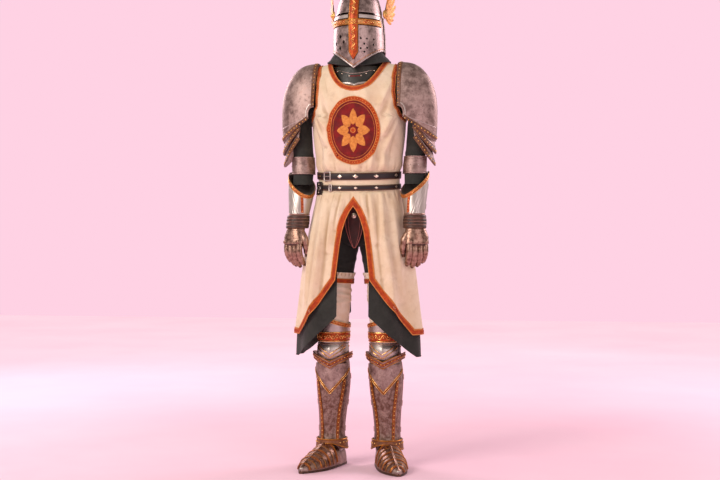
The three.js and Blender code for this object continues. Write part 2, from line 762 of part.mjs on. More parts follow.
function loinFlap() {
  const { front, drop, bow, low, high } = LOIN_FLAP;
  const surface = (u, z) => new THREE.Vector3(
    u * read(LOIN_HALF, 'half', z),
    -front - drop * THREE.MathUtils.smoothstep(z, low, high) + bow * u * u,
    z,
  );
  return wall(surface, { us: spread(-1, 1, 2), vs: LOIN_HALF.map((row) => row.z), lift: -CLOTH, thick: CLOTH });
}

// ---------------------------------------------------------------- helm and neck

// Every piece of the helm shares these columns and rows, so that neighbours stay parallel.
const FACE_ANGLES = [-95, -88, -72, -55, -38, -21, -9, 0, 9, 21, 38, 55, 72, 88, 95];
const NAPE_ANGLES = [115, 137, 158, 180, 202, 223, 245];
const FACE_HEIGHTS = [1532, 1610, BAND_LOW, BAND_HIGH, BROW_HIGH];
const CROWN_HEIGHTS = [CROWN_LOW, 1742, 1770, 1798, 1822, 1840, 1850];

function facePlate() {
  const us = FACE_ANGLES.map(degrees);
  const plate = solid(wall(helmPoint, { us, vs: [1495, ...FACE_HEIGHTS], lift: -PLATE, thick: PLATE }));
  const cut = [
    { x: 0, z: CHIN_POINT },
    { x: 97, z: HELM_SIDE_LOW },
    { x: 120, z: HELM_SIDE_LOW },
    { x: 120, z: 1400 },
  ];
  return geometryOf(plate.subtract(prism([...cut, ...flipped(cut).slice(0, -1)], -CUT_DEPTH, CUT_DEPTH)));
}

function rearPlate() {
  const surface = (phi, part) => {
    const low = HELM_SIDE_LOW - 26 * Math.max(0, -Math.cos(phi));
    return helmPoint(phi, low + (BROW_HIGH - low) * part);
  };
  const us = [88, 95, ...NAPE_ANGLES, 265, 272].map(degrees);
  return wall(surface, { us, vs: spread(0, 1, 3), lift: 1.2, thick: PLATE });
}

function crownPlate() {
  const us = [...FACE_ANGLES, ...NAPE_ANGLES].map(degrees);
  const form = { us, vs: CROWN_HEIGHTS, ring: true, pole: true, lift: -PLATE, thick: PLATE };
  const dome = solid(wall(helmPoint, form));
  const sight = rectangle(SIGHT.near, SIGHT.far, CROWN_LOW - 5, SIGHT_HIGH);
  const cut = prism(sight, -160, -20).add(prism(flipped(sight), -160, -20));
  return geometryOf(dome.subtract(cut));
}

function browBar() {
  const us = FACE_ANGLES.filter((angle) => angle >= 0 && angle < 80).map(degrees);
  const bar = solid(wall(helmPoint, { us, vs: [BAND_HIGH + GAP, BROW_HIGH], lift: 0.8, thick: 4 }));
  const clear = UPRIGHT_HALF + GAP;
  return geometryOf(bar.subtract(prism(rectangle(-40, clear, BAND_LOW, CUT_TOP + 100), -CUT_DEPTH, CUT_DEPTH)));
}

function helmCross() {
  const us = FACE_ANGLES.filter((angle) => Math.abs(angle) < 80).map(degrees);
  const vs = [...FACE_HEIGHTS.slice(0, -1), ...CROWN_HEIGHTS.slice(0, -1)];
  const skin = solid(wall(helmPoint, { us, vs, lift: 0.6, thick: 3.2 }));
  const half = UPRIGHT_HALF;
  const outline = [
    { x: 0, z: 1533 },
    { x: half, z: 1560 },
    { x: half, z: BAND_LOW },
    { x: 140, z: BAND_LOW },
    { x: 140, z: BAND_HIGH },
    { x: half, z: BAND_HIGH },
    { x: half, z: 1822 },
    { x: 0, z: 1834 },
  ];
  const cross = prism([...outline, ...flipped(outline).slice(1, -1)], -CUT_DEPTH, CUT_DEPTH);
  return geometryOf(skin.intersect(cross));
}

function wing() {
  const { root, reach: base, thick } = WING;
  const outline = [new THREE.Vector2(0, -root), new THREE.Vector2(base, -root)];
  for (const { angle, length } of FEATHERS) {
    for (const [turned, reach] of [[-7, 0.86], [-3.5, 0.98], [0.5, 1], [4.5, 0.97], [8, 0.84]]) {
      const way = degrees(angle + turned);
      outline.push(new THREE.Vector2(length * reach * Math.cos(way), length * reach * Math.sin(way)));
    }
  }
  outline.push(new THREE.Vector2(12, 96), new THREE.Vector2(-2, 40));
  const geometry = new THREE.ExtrudeGeometry(new THREE.Shape(outline), { depth: thick, bevelEnabled: false });
  geometry.rotateX(Math.PI / 2);
  geometry.rotateZ(degrees(WING.turn));
  geometry.translate(WING.x, WING.y, WING.z);
  geometry.deleteAttribute('normal');
  geometry.deleteAttribute('uv');
  return mergeVertices(geometry, 1e-4);
}

function coif() {
  const surface = (phi, part) => {
    const low = COIF.low + COIF.sideRise * Math.sin(phi) ** 2;
    const deep = read(COIF_SECTIONS, Math.cos(phi) > 0 ? 'front' : 'back', part, 'part');
    const wide = read(COIF_SECTIONS, 'wide', part, 'part');
    return new THREE.Vector3(wide * Math.sin(phi), -deep * Math.cos(phi), low + (COIF.high - low) * part);
  };
  return wall(surface, { us: turn(18), vs: [0, 0.35, 0.7, 1], ring: true, lift: -CLOTH, thick: CLOTH });
}

function gorget() {
  const surface = (phi, part) => {
    const front = Math.max(0, Math.cos(phi));
    const back = Math.max(0, -Math.cos(phi));
    const low = GORGET.low - GORGET.frontDrop * front ** 1.5 - GORGET.backDrop * back;
    const wide = GORGET.wide - 11 * part;
    const deep = front > 0 ? GORGET.front - 17 * part : GORGET.back - 9 * part;
    return new THREE.Vector3(wide * Math.sin(phi), -deep * Math.cos(phi), low + (GORGET.high - low) * part);
  };
  return wall(surface, { us: turn(18), vs: [0, 1], ring: true, lift: -LEATHER, thick: LEATHER });
}

// ---------------------------------------------------------------- arms

/** A curved plate that fans from a pivot line: its ridge point, pivot and depth at each part. */
function fanned(ridge, pivot, parts, open, thick) {
  const surface = (swing, part) => {
    const top = ridge(part);
    const hinge = pivot(part);
    return new THREE.Vector3(
      hinge.x + (top.x - hinge.x) * Math.cos(swing),
      hinge.deep * Math.sin(swing),
      hinge.z + (top.z - hinge.z) * Math.cos(swing),
    );
  };
  return wall((part, swing) => surface(swing, part), {
    us: parts,
    vs: spread(-open, open, 8).map(degrees),
    lift: -thick,
    thick,
  });
}

function pauldron() {
  const rows = PAULDRON_RIDGE.map((row, k) => ({ ...row, part: k }));
  const ridge = (part) => ({ x: read(rows, 'x', part, 'part'), z: read(rows, 'z', part, 'part') });
  return fanned(ridge, () => PAULDRON_PIVOT, [0, 1, 2.5, 4, 5.5, 7.2, 9], 82, PLATE);
}

function lame({ topX, topZ, lowX, lowZ, innerX, innerTop, innerLow, deep }) {
  const { lerp } = THREE.MathUtils;
  const ridge = (part) => ({ x: lerp(topX, lowX, part), z: lerp(topZ, lowZ, part) });
  const pivot = (part) => ({ x: innerX + 6 * part, z: lerp(innerTop, innerLow, part), deep: deep + 3 * part });
  return fanned(ridge, pivot, [0, 1], 80, PLATE);
}

function sleeve() {
  const surface = (angle, k) => sectionPoint(SLEEVE[k], angle);
  const vs = SLEEVE.map((_, k) => k).reverse();
  return wall(surface, { us: turn(12), vs, ring: true, lift: -CLOTH, thick: CLOTH });
}

/** A plate tube with level ends. */
function tube(table, sides, thick, steps = table.length - 1) {
  const vs = spread(table[0].z, table[table.length - 1].z, steps);
  return wall(limbSurface(table), { us: turn(sides), vs, ring: true, lift: -thick, thick });
}

/** A plate between two edges that each follow the angle round the limb. */
function shapedTube(table, { us, ring = false, steps, low, high, thick }) {
  const base = limbSurface(table);
  const surface = (angle, part) => base(angle, low(angle) + (high(angle) - low(angle)) * part);
  return wall(surface, { us, vs: spread(0, 1, steps), ring, lift: -thick, thick });
}

function vambrace() {
  return shapedTube(VAMBRACE, {
    us: turn(16),
    ring: true,
    steps: 3,
    low: () => 954,
    high: (angle) => Math.min(1121, 1079 - 48 * Math.cos(angle + degrees(45))),
    thick: PLATE,
  });
}

/** A point in the hand's frame, in the suit's frame. */
function handPoint(across, out, z) {
  const way = degrees(HAND.turn);
  return new THREE.Vector3(
    HAND.x + across * Math.cos(way) + out * Math.sin(way),
    HAND.y + across * Math.sin(way) - out * Math.cos(way),
    z,
  );
}

/** A bent round digit through its stations, in the hand's frame. */
function digit(stations, sides) {
  const rings = stations.map((station, k) => {
    const before = stations[Math.max(k - 1, 0)];
    const after = stations[Math.min(k + 1, stations.length - 1)];
    const run = new THREE.Vector3(after.across - before.across, after.out - before.out, after.z - before.z);
    run.normalize();
    const first = new THREE.Vector3(1, 0, 0).addScaledVector(run, -run.x).normalize();
    const second = new THREE.Vector3().crossVectors(run, first);
    return turn(sides).map((angle) => {
      const rim = new THREE.Vector3(station.across, station.out, station.z);
      rim.addScaledVector(first, station.radius * Math.cos(angle));
      rim.addScaledVector(second, station.radius * Math.sin(angle));
      return handPoint(rim.x, rim.y, rim.z);
    });
  });
  return solid(loft(rings));
}

/** The whole hand as a solid, moved in by inset, open upwards by reach. */
function handSolid(inset, reach) {
  const rings = PALM.map(({ across, out, z, half, deep }, k) =>
    turn(10).map((angle) => handPoint(
      across + (half - inset) * Math.sin(angle),
      out + (deep - inset) * Math.cos(angle),
      z + (k === 0 ? reach : 0) + (k === PALM.length - 1 ? inset : 0),
    )));
  let hand = solid(loft(rings));
  for (const { across, length, radius } of FINGERS) {
    const stations = FINGER_CURL.map(({ part, out, taper }) => ({
      across,
      out,
      z: 845 - (length - inset) * part,
      radius: radius * taper - inset,
    }));
    hand = hand.add(digit(stations, 6));
  }
  const thumb = THUMB.map((row, k) => ({
    ...row,
    z: row.z + (k === THUMB.length - 1 ? inset : 0),
    radius: row.radius - inset,
  }));
  return hand.add(digit(thumb, 6));
}

function gauntlet() {
  return geometryOf(handSolid(0, 0).subtract(handSolid(PLATE, 20)));
}

// ---------------------------------------------------------------- legs

function thighCuff() {
  return shapedTube(THIGH_CUFF, {
    us: turn(16),
    ring: true,
    steps: 1,
    low: (angle) => 697 + 5 * Math.sin(angle),
    high: (angle) => 740 + 5 * Math.sin(angle),
    thick: CLOTH,
  });
}

function cuisse() {
  return shapedTube(CUISSE, {
    us: turn(16),
    ring: true,
    steps: 2,
    low: () => 472,
    high: (angle) => 560 + 19 * Math.sin(angle),
    thick: PLATE,
  });
}

function poleyn() {
  return shapedTube(POLEYN, {
    us: spread(-112, 112, 12).map(degrees),
    steps: 3,
    low: (angle) => 409 + 8 * Math.abs(Math.sin(angle)),
    high: () => 471,
    thick: PLATE,
  });
}

function greaveCollar() {
  return shapedTube(GREAVE_COLLAR, {
    us: spread(-120, 120, 16).map(degrees),
    steps: 1,
    low: (angle) => 374 + 38 * Math.abs(Math.sin(angle)),
    high: (angle) => 403 + 33 * Math.abs(Math.sin(angle)),
    thick: PLATE,
  });
}

function greave() {
  return shapedTube(GREAVE, {
    us: turn(16),
    ring: true,
    steps: 4,
    low: (angle) => 92 + 10 * Math.max(0, Math.cos(angle)),
    high: () => 403,
    thick: PLATE,
  });
}

function ankleStrap() {
  return shapedTube(ANKLE_STRAP, {
    us: turn(16),
    ring: true,
    steps: 1,
    low: (angle) => 63 + 34 * Math.max(0, Math.cos(angle)) ** 2,
    high: () => 106,
    thick: LEATHER,
  });
}

/** The foot as a solid, moved in by inset, with its sole at the height given. */
function footSolid(inset, floor) {
  const rings = SABATON.map(({ along, half, high }, k) => {
    const ends = (k === 0 ? inset : 0) - (k === SABATON.length - 1 ? inset * 4 : 0);
    const wide = Math.max(half - inset, 1.2);
    const top = Math.max(high - inset, SOLE + 2);
    const arch = spread(0, 180, 6).map(degrees).map((angle) => ({
      across: wide * Math.cos(angle),
      z: SOLE + (top - SOLE) * Math.sin(angle) ** 0.85,
    }));
    const bottom = [{ across: -wide * 0.94, z: floor }, { across: wide * 0.94, z: floor }];
    return [...arch, ...bottom].map(({ across, z }) => new THREE.Vector3(across, -(along + ends), z));
  });
  const geometry = loft(rings);
  geometry.rotateZ(degrees(FOOT_YAW));
  geometry.translate(ANKLE.x, ANKLE.y, 0);
  return solid(geometry);
}

function sabaton() {
  const outside = footSolid(0, 0).add(limbSolid(ANKLE_COLLAR, 12));
  const inside = footSolid(PLATE, 5).add(limbSolid(ANKLE_COLLAR, 12, PLATE, 12));
  return geometryOf(outside.subtract(inside));
}

// ---------------------------------------------------------------- the suit

const suit = new THREE.Group();
const helm = new THREE.Group();
suit.add(helm);
suit.position.y = BODY_SHIFT_Y;

function add(group, name, geometry, finish) {
  const mesh = new THREE.Mesh(geometry, new THREE.MeshStandardMaterial(FINISHES[finish]));
  mesh.name = name;
  group.add(mesh);
}

/** The same piece on both sides, as two meshes. */
function addPair(group, name, geometry, finish) {
  add(group, `${name}_left`, geometry, finish);
  add(group, `${name}_right`, mirrored(geometry), finish);
}

add(helm, 'helm_face', facePlate(), 'steel');
add(helm, 'helm_rear', rearPlate(), 'steel');
add(helm, 'helm_crown', crownPlate(), 'steel');
add(helm, 'helm_cross', helmCross(), 'ornament');
addPair(helm, 'brow_bar', browBar(), 'brightSteel');
addPair(helm, 'wing', wing(), 'gilt');

add(suit, 'coif', coif(), 'darkCloth');
add(suit, 'gorget', gorget(), 'leather');
add(suit, 'surcoat_front', surcoatPanel(0), 'cream');
add(suit, 'surcoat_back', surcoatPanel(BACK_TURN), 'cream');
add(suit, 'neck_braid', neckBraid(), 'braid');
add(suit, 'armhole_braid_left', armholeBraid(1), 'braid');
add(suit, 'armhole_braid_right', armholeBraid(-1), 'braid');
add(suit, 'hem_braid_front', hemBraid(0), 'braid');
add(suit, 'hem_braid_back', hemBraid(BACK_TURN), 'braid');
add(suit, 'badge', badge(), 'darkRed');
add(suit, 'under_skirt_left', underSkirt(1), 'darkCloth');
add(suit, 'under_skirt_right', underSkirt(-1), 'darkCloth');
add(suit, 'trousers', trousers(), 'darkCloth');
add(suit, 'loin_flap', loinFlap(), 'darkRed');
add(suit, 'belt_upper', belt(UPPER_BELT), 'belt');
add(suit, 'belt_lower', belt(LOWER_BELT), 'belt');
add(suit, 'buckle_upper', buckle(UPPER_BELT, -118, -88), 'brightSteel');
add(suit, 'buckle_lower', buckle(LOWER_BELT, -97, -83), 'brightSteel');
add(suit, 'belt_tab', onFront(rectangle(-150, -125, 1030, 1080), 5.4, LEATHER), 'belt');

const PAIRS = [
  ['sleeve', sleeve, 'darkCloth'],
  ['pauldron', pauldron, 'steel'],
  ['lame_upper', () => lame(LAMES[0]), 'steel'],
  ['lame_lower', () => lame(LAMES[1]), 'steel'],
  ['rerebrace', () => tube(REREBRACE, 16, PLATE), 'steel'],
  ['vambrace', vambrace, 'brightSteel'],
  ['wrist_band', () => tube(WRIST_BAND, 14, LEATHER), 'leather'],
  ['gauntlet', gauntlet, 'brightSteel'],
  ['thigh_cuff', thighCuff, 'braid'],
  ['hose', () => tube(HOSE, 12, CLOTH, 4), 'cream'],
  ['cuisse', cuisse, 'brightSteel'],
  ['poleyn', poleyn, 'brightSteel'],
  ['greave_collar', greaveCollar, 'steel'],
  ['greave', greave, 'steel'],
  ['ankle_strap', ankleStrap, 'leather'],
  ['sabaton', sabaton, 'steel'],
];
for (const [name, make, finish] of PAIRS) {
  addPair(suit, name, make(), finish);
}

export default suit;
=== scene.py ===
"""The looks of a hollow suit of plate armour with its belted cloth surcoat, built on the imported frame.

Surfaces are worked out in millimetres, in the suit's own frame: +Z up, the suit faces -Y, and its own
left side is +X. Meshes are turned to metres when they are placed.
"""

import enum
import json
import logging
import math
from dataclasses import dataclass, field
from typing import Callable, Iterable, Sequence

import bmesh
import bpy
import numpy as np
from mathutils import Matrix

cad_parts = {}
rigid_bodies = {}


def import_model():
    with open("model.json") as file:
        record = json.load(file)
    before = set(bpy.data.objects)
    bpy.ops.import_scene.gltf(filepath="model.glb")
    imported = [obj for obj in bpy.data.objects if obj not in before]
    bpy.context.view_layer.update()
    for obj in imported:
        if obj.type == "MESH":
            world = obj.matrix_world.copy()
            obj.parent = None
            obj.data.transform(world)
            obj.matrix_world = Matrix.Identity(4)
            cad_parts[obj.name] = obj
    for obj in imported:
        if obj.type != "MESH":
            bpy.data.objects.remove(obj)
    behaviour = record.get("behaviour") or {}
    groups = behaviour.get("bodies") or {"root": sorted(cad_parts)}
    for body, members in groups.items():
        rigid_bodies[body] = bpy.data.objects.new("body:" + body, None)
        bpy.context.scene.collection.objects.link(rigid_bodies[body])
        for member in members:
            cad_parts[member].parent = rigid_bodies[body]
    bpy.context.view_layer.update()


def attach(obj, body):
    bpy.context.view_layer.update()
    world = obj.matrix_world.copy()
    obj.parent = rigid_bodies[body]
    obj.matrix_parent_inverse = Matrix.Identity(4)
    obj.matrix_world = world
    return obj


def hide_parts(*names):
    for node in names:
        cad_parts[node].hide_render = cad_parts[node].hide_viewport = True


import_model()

log = logging.getLogger("suit")

MM = 0.001
BODY_SHIFT_Y = 21.8  # the suit's own middle stands this far behind the frame's origin

Surface = Callable[[np.ndarray, np.ndarray], np.ndarray]
Socket = bpy.types.NodeSocket
Table = Sequence[dict[str, float]]


class Body(enum.Enum):
    """The rigid bodies of the frame."""

    SUIT = "suit"
    HELM = "helm"


class Slot(enum.Enum):
    """The record's material slots."""

    STEEL = "steel"
    BRIGHT = "bright_steel"
    GILT = "gilt"
    ORNAMENT = "ornament"
    CREAM = "cream_cloth"
    BRAID = "braid"
    DARK = "dark_cloth"
    RED = "red_cloth"
    LEATHER = "leather"
    BELT = "belt_leather"


class Side(enum.Enum):
    """The suit's own left and right."""

    LEFT = 1
    RIGHT = -1

    @property
    def word(self) -> str:
        """The side's name inside a piece's name."""
        return self.name.lower()


# ---------------------------------------------------------------- working out shapes


def smoothstep(value: np.ndarray, low: float, high: float) -> np.ndarray:
    """A soft step from 0 at low to 1 at high."""
    part = np.clip((value - low) / (high - low), 0.0, 1.0)
    return part * part * (3.0 - 2.0 * part)


def read(table: Table, column: str, value: np.ndarray, key: str = "z") -> np.ndarray:
    """A smooth reading of a table's column.

    Args:
        table: rows that rise in the key column.
        column: the column to read.
        value: where to read it.
        key: the column that says where each row stands.

    Returns:
        The column's value at each place.
    """
    at = np.array([row[key] for row in table], dtype=float)
    to = np.array([row[column] for row in table], dtype=float)
    slope = np.empty_like(to)
    slope[1:-1] = (to[2:] - to[:-2]) / (at[2:] - at[:-2])
    slope[0] = (to[1] - to[0]) / (at[1] - at[0])
    slope[-1] = (to[-1] - to[-2]) / (at[-1] - at[-2])
    value = np.clip(value, at[0], at[-1])
    i = np.clip(np.searchsorted(at, value, side="right") - 1, 0, len(at) - 2)
    span = at[i + 1] - at[i]
    t = (value - at[i]) / span
    keep = (1 + 2 * t) * (1 - t) ** 2
    rise = t * (1 - t) ** 2 * slope[i] + t * t * (t - 1) * slope[i + 1]
    return keep * to[i] + (1 - keep) * to[i + 1] + rise * span


def stack(*parts: np.ndarray) -> np.ndarray:
    """Coordinates of the same shape as one array of points."""
    return np.stack(np.broadcast_arrays(*parts), axis=-1)


def unit(vectors: np.ndarray) -> np.ndarray:
    """Vectors at length one."""
    return vectors / np.maximum(np.linalg.norm(vectors, axis=-1, keepdims=True), 1e-9)


def mesh_grid(us: Iterable[float], vs: Iterable[float]) -> tuple[np.ndarray, np.ndarray]:
    """Two arrays with every pair of a u and a v."""
    return tuple(np.meshgrid(np.asarray(list(us), float), np.asarray(list(vs), float), indexing="ij"))


def ring_angles(sides: int) -> np.ndarray:
    """Angles for a full turn that closes on itself, from the back round to the back."""
    return np.radians(np.linspace(-180.0, 180.0, sides, endpoint=False))


@dataclass
class Shape:
    """Points, faces and cloth coordinates of one mesh, in millimetres.

    Faces hold point numbers, and each face's corners have their place along and across the piece.
    """

    points: np.ndarray
    faces: list[list[int]]
    along: list[list[tuple[float, float]]]

    @staticmethod
    def joined(shapes: Iterable["Shape"]) -> "Shape":
        """Several shapes as one mesh."""
        points, faces, along, total = [], [], [], 0
        for shape in shapes:
            points.append(shape.points)
            faces += [[corner + total for corner in face] for face in shape.faces]
            along += shape.along
            total += len(shape.points)
        return Shape(np.concatenate(points), faces, along)

    def mirrored(self) -> "Shape":
        """The other side's copy."""
        points = self.points * np.array([-1.0, 1.0, 1.0])
        return Shape(points, [face[::-1] for face in self.faces], [uv[::-1] for uv in self.along])

    def on(self, side: Side) -> "Shape":
        """This left-hand shape on the side asked for."""
        return self if side is Side.LEFT else self.mirrored()


def lengths(grid: np.ndarray, axis: int, ring: bool) -> np.ndarray:
    """How far each row or column lies along the grid, in millimetres, averaged over the other way."""
    if ring:
        first = grid[:1] if axis == 0 else grid[:, :1]
        grid = np.concatenate([grid, first], axis=axis)
    steps = np.linalg.norm(np.diff(grid, axis=axis), axis=-1).mean(axis=1 - axis)
    return np.concatenate([[0.0], np.cumsum(steps)])


def sheet(grid: np.ndarray, ring: bool = False, ring_v: bool = False) -> Shape:
    """A skin through a grid of points.

    Args:
        grid: points by u and v.
        ring: whether the last u joins the first.
        ring_v: whether the last v joins the first.

    Returns:
        The open or closed skin.
    """
    nu, nv = grid.shape[:2]
    far_u = lengths(grid, 0, ring)
    far_v = lengths(grid, 1, ring_v)
    faces, along = [], []
    for i in range(nu if ring else nu - 1):
        for j in range(nv if ring_v else nv - 1):
            corners = ((i, j), (i + 1, j), (i + 1, j + 1), (i, j + 1))
            faces.append([(a % nu) * nv + b % nv for a, b in corners])
            along.append([(far_u[a] * MM, far_v[b] * MM) for a, b in corners])
    return Shape(grid.reshape(-1, 3), faces, along)


def grid_normals(grid: np.ndarray, ring: bool) -> np.ndarray:
    """The outward normal at each point of a grid whose u turns to the left and v goes up."""
    if ring:
        across = np.roll(grid, -1, axis=0) - np.roll(grid, 1, axis=0)
    else:
        across = np.gradient(grid, axis=0)
    return unit(np.cross(across, np.gradient(grid, axis=1)))


def wall(grid: np.ndarray, thick: float, lift: float | np.ndarray = 0.0, ring: bool = False) -> Shape:
    """A closed wall on a grid.

    Args:
        grid: points of the surface by u and v.
        thick: the wall, measured outwards from lift.
        lift: how far its inner face stands off the surface.
        ring: whether the last u joins the first.

    Returns:
        A closed mesh with both skins and its rims.
    """
    normal = grid_normals(grid, ring)
    lift = np.asarray(lift, float)
    lift = lift[..., None] if lift.ndim else lift
    inner = sheet(grid + normal * lift, ring)
    outer = sheet(grid + normal * (lift + thick), ring)
    nu, nv = grid.shape[:2]
    count = nu * nv
    faces = outer.faces + [[corner + count for corner in face[::-1]] for face in inner.faces]
    along = outer.along + [uv[::-1] for uv in inner.along]
    edge = thick * MM

    def rim(a: int, b: int) -> None:
        """Close the wall between two neighbouring points of its edge."""
        faces.append([b, a, a + count, b + count])
        along.append([(0, 0), (edge, 0), (edge, edge), (0, edge)])

    for i in range(nu if ring else nu - 1):
        rim(i * nv, ((i + 1) % nu) * nv)
        rim(((i + 1) % nu) * nv + nv - 1, i * nv + nv - 1)
    if not ring:
        for j in range(nv - 1):
            rim(j + 1, j)
            rim((nu - 1) * nv + j, (nu - 1) * nv + j + 1)
    return Shape(np.concatenate([outer.points, inner.points]), faces, along)


def tube(rings: np.ndarray, closed: bool = False) -> Shape:
    """A solid through rings of points.

    Args:
        rings: points by ring and place in the ring.
        closed: whether the last ring joins the first, so that it needs no ends.

    Returns:
        A closed mesh.
    """
    skin = sheet(rings, closed, True)
    if closed:
        return skin
    count, sides = rings.shape[:2]
    faces = skin.faces + [list(range(sides))[::-1], [(count - 1) * sides + k for k in range(sides)]]
    flat = [(0.0, 0.0)] * sides
    return Shape(skin.points, faces, skin.along + [flat, flat])


# ---------------------------------------------------------------- lines that lie on a surface


def flat_band(half: float, shoulder: float, top: float, foot: float = -0.3,
              step: float = 1.0) -> list[tuple[float, float]]:
    """The section of a flat strap, with its upper corners cut back by a step."""
    left = [(-half, foot), (-half, shoulder), (step - half, top)]
    return left + [(-across, height) for across, height in left[::-1]]


@dataclass
class Line:
    """A line on a surface, as places in the surface's own two directions."""

    surface: Surface
    places: np.ndarray
    closed: bool = False

    def point(self, places: np.ndarray) -> np.ndarray:
        """Points of the surface at some places."""
        return self.surface(places[..., 0], places[..., 1])

    def slopes(self, places: np.ndarray) -> tuple[np.ndarray, np.ndarray]:
        """How the surface runs along each of its two directions."""
        found = []
        for axis, step in ((0, 1e-3), (1, 1e-2)):
            move = np.zeros(2)
            move[axis] = step
            found.append((self.point(places + move) - self.point(places - move)) / (2 * step))
        return found[0], found[1]

    def normals(self, places: np.ndarray) -> np.ndarray:
        """The surface's outward normals at some places."""
        return unit(np.cross(*self.slopes(places)))

    def even(self, spacing: float) -> "Line":
        """The same line with evenly spaced places; its sharp corners are kept within one step."""
        fine = self._filled()
        points = self.point(fine)
        far = np.concatenate([[0.0], np.cumsum(np.linalg.norm(np.diff(points, axis=0), axis=-1))])
        count = max(3, round(far[-1] / spacing) + 1)
        at = np.linspace(0.0, far[-1], count)
        places = np.stack([np.interp(at, far, fine[:, k]) for k in (0, 1)], axis=-1)
        return Line(self.surface, places[:-1] if self.closed else places, self.closed)

    def _filled(self) -> np.ndarray:
        """The places with finer steps; a closed line comes back by the short way round."""
        places = self.places
        if self.closed:
            last = places[:1].copy()
            gap = places[-1, 0] - last[0, 0]
            if abs(gap) > math.pi:
                last[0, 0] += math.copysign(2 * math.pi, gap)
            places = np.concatenate([places, last])
        parts = [np.linspace(a, b, 24, endpoint=False) for a, b in zip(places[:-1], places[1:])]
        return np.concatenate([*parts, places[-1:]])

    def length(self) -> float:
        """The line's length in millimetres."""
        points = self.point(self._filled())
        return float(np.linalg.norm(np.diff(points, axis=0), axis=-1).sum())

    def sideways(self) -> np.ndarray:
        """For each place, the change of place that moves it one millimetre to the line's left."""
        points = self.point(self.places)
        if self.closed:
            into = unit(points - np.roll(points, 1, axis=0))
            out = unit(np.roll(points, -1, axis=0) - points)
        else:
            step = unit(np.diff(points, axis=0))
            into = np.concatenate([step[:1], step])
            out = np.concatenate([step, step[-1:]])
        mean = unit(into + out)
        slope_u, slope_v = self.slopes(self.places)
        left = np.cross(unit(np.cross(slope_u, slope_v)), mean)
        left /= np.maximum(np.sum(mean * out, axis=-1, keepdims=True), 0.35)
        uu = np.sum(slope_u * slope_u, axis=-1)
        uv = np.sum(slope_u * slope_v, axis=-1)
        vv = np.sum(slope_v * slope_v, axis=-1)
        lu = np.sum(left * slope_u, axis=-1)
        lv = np.sum(left * slope_v, axis=-1)
        size = np.maximum(uu * vv - uv * uv, 1e-9)
        return np.stack([(lu * vv - lv * uv) / size, (lv * uu - lu * uv) / size], axis=-1)

    def moved(self, across: float | np.ndarray) -> "Line":
        """A copy moved to the line's left by a distance, or by one for each place."""
        return Line(self.surface, self.places + self.sideways() * np.reshape(across, (-1, 1)), self.closed)

    def strip(self, profile: Sequence[tuple[float, float]]) -> Shape:
        """A strip along the line.

        Args:
            profile: the closed section, as distances to the line's left and heights off the surface.

        Returns:
            A closed mesh.
        """
        side = self.sideways()
        section = np.asarray(profile, float)
        places = self.places[:, None, :] + side[:, None, :] * section[None, :, :1]
        rings = self.point(places) + self.normals(places) * section[None, :, 1:]
        return tube(rings, self.closed)

    def cord(self, radius: float, height: float, lift: float = 0.0) -> Shape:
        """A low round cord along the line."""
        bends = np.radians([180, 135, 90, 45, 0])
        profile = [(radius * math.cos(a), lift + height * math.sin(a)) for a in bends[::-1]]
        return self.strip([(-radius, lift - 0.4), (radius, lift - 0.4), *profile][::-1])

    def vine(self, swing: float, wave: float, radius: float, lift: float) -> Shape:
        """A scroll that winds along the line, with a curled leaf in each bend."""
        fine = self.even(2.0)
        far = np.arange(len(fine.places)) * 2.0
        turns = max(1, round(far[-1] / wave))
        phase = far / max(far[-1], 1.0) * turns * 2 * math.pi
        parts = [fine.moved(swing * np.sin(phase)).even(2.2).cord(radius, radius, lift)]
        for k in range(turns * 2):
            at = int(np.clip((k + 0.5) / (turns * 2) * len(far), 0, len(far) - 1))
            spot = fine.moved(-0.25 * swing * np.sin(phase)).places[at]
            parts.append(dome(self, spot, radius * 2.1, radius * 1.5, lift, 8))
        return Shape.joined(parts)

    def studs(self, spacing: float, radius: float, height: float, lift: float = 0.0,
              sides: int = 10) -> Shape:
        """Round-headed studs along the line."""
        spots = self.even(spacing).places
        if not self.closed and len(spots) > 3:
            spots = (spots[1:] + spots[:-1]) / 2
        return Shape.joined(dome(self, spot, radius, height, lift, sides) for spot in spots)


def dome(line: Line, spot: np.ndarray, radius: float, height: float, lift: float, sides: int) -> Shape:
    """A low dome that sits on a line's surface at one place."""
    slope_u, _ = line.slopes(spot)
    up = line.normals(spot)
    first = unit(slope_u)
    second = np.cross(up, first)
    turn = np.linspace(0.0, 2 * math.pi, sides, endpoint=False)
    rings = []
    for bend in (-12.0, 0.0, 30.0, 55.0, 80.0):
        out = radius * math.cos(math.radians(bend))
        rise = lift + height * math.sin(math.radians(bend))
        spokes = np.cos(turn)[:, None] * first + np.sin(turn)[:, None] * second
        rings.append(line.point(spot) + spokes * out + up * rise)
    return tube(np.array(rings))


# ---------------------------------------------------------------- finishes


def linear(text: str) -> tuple[float, float, float, float]:
    """A colour written as sRGB hex, as the linear colour that shaders use."""
    parts = [int(text[k : k + 2], 16) / 255 for k in (1, 3, 5)]
    return (*[p / 12.92 if p <= 0.04045 else ((p + 0.055) / 1.055) ** 2.4 for p in parts], 1.0)


def repeats(size: float) -> float:
    """The texture scale whose features are this many millimetres across."""
    return 1000.0 / size


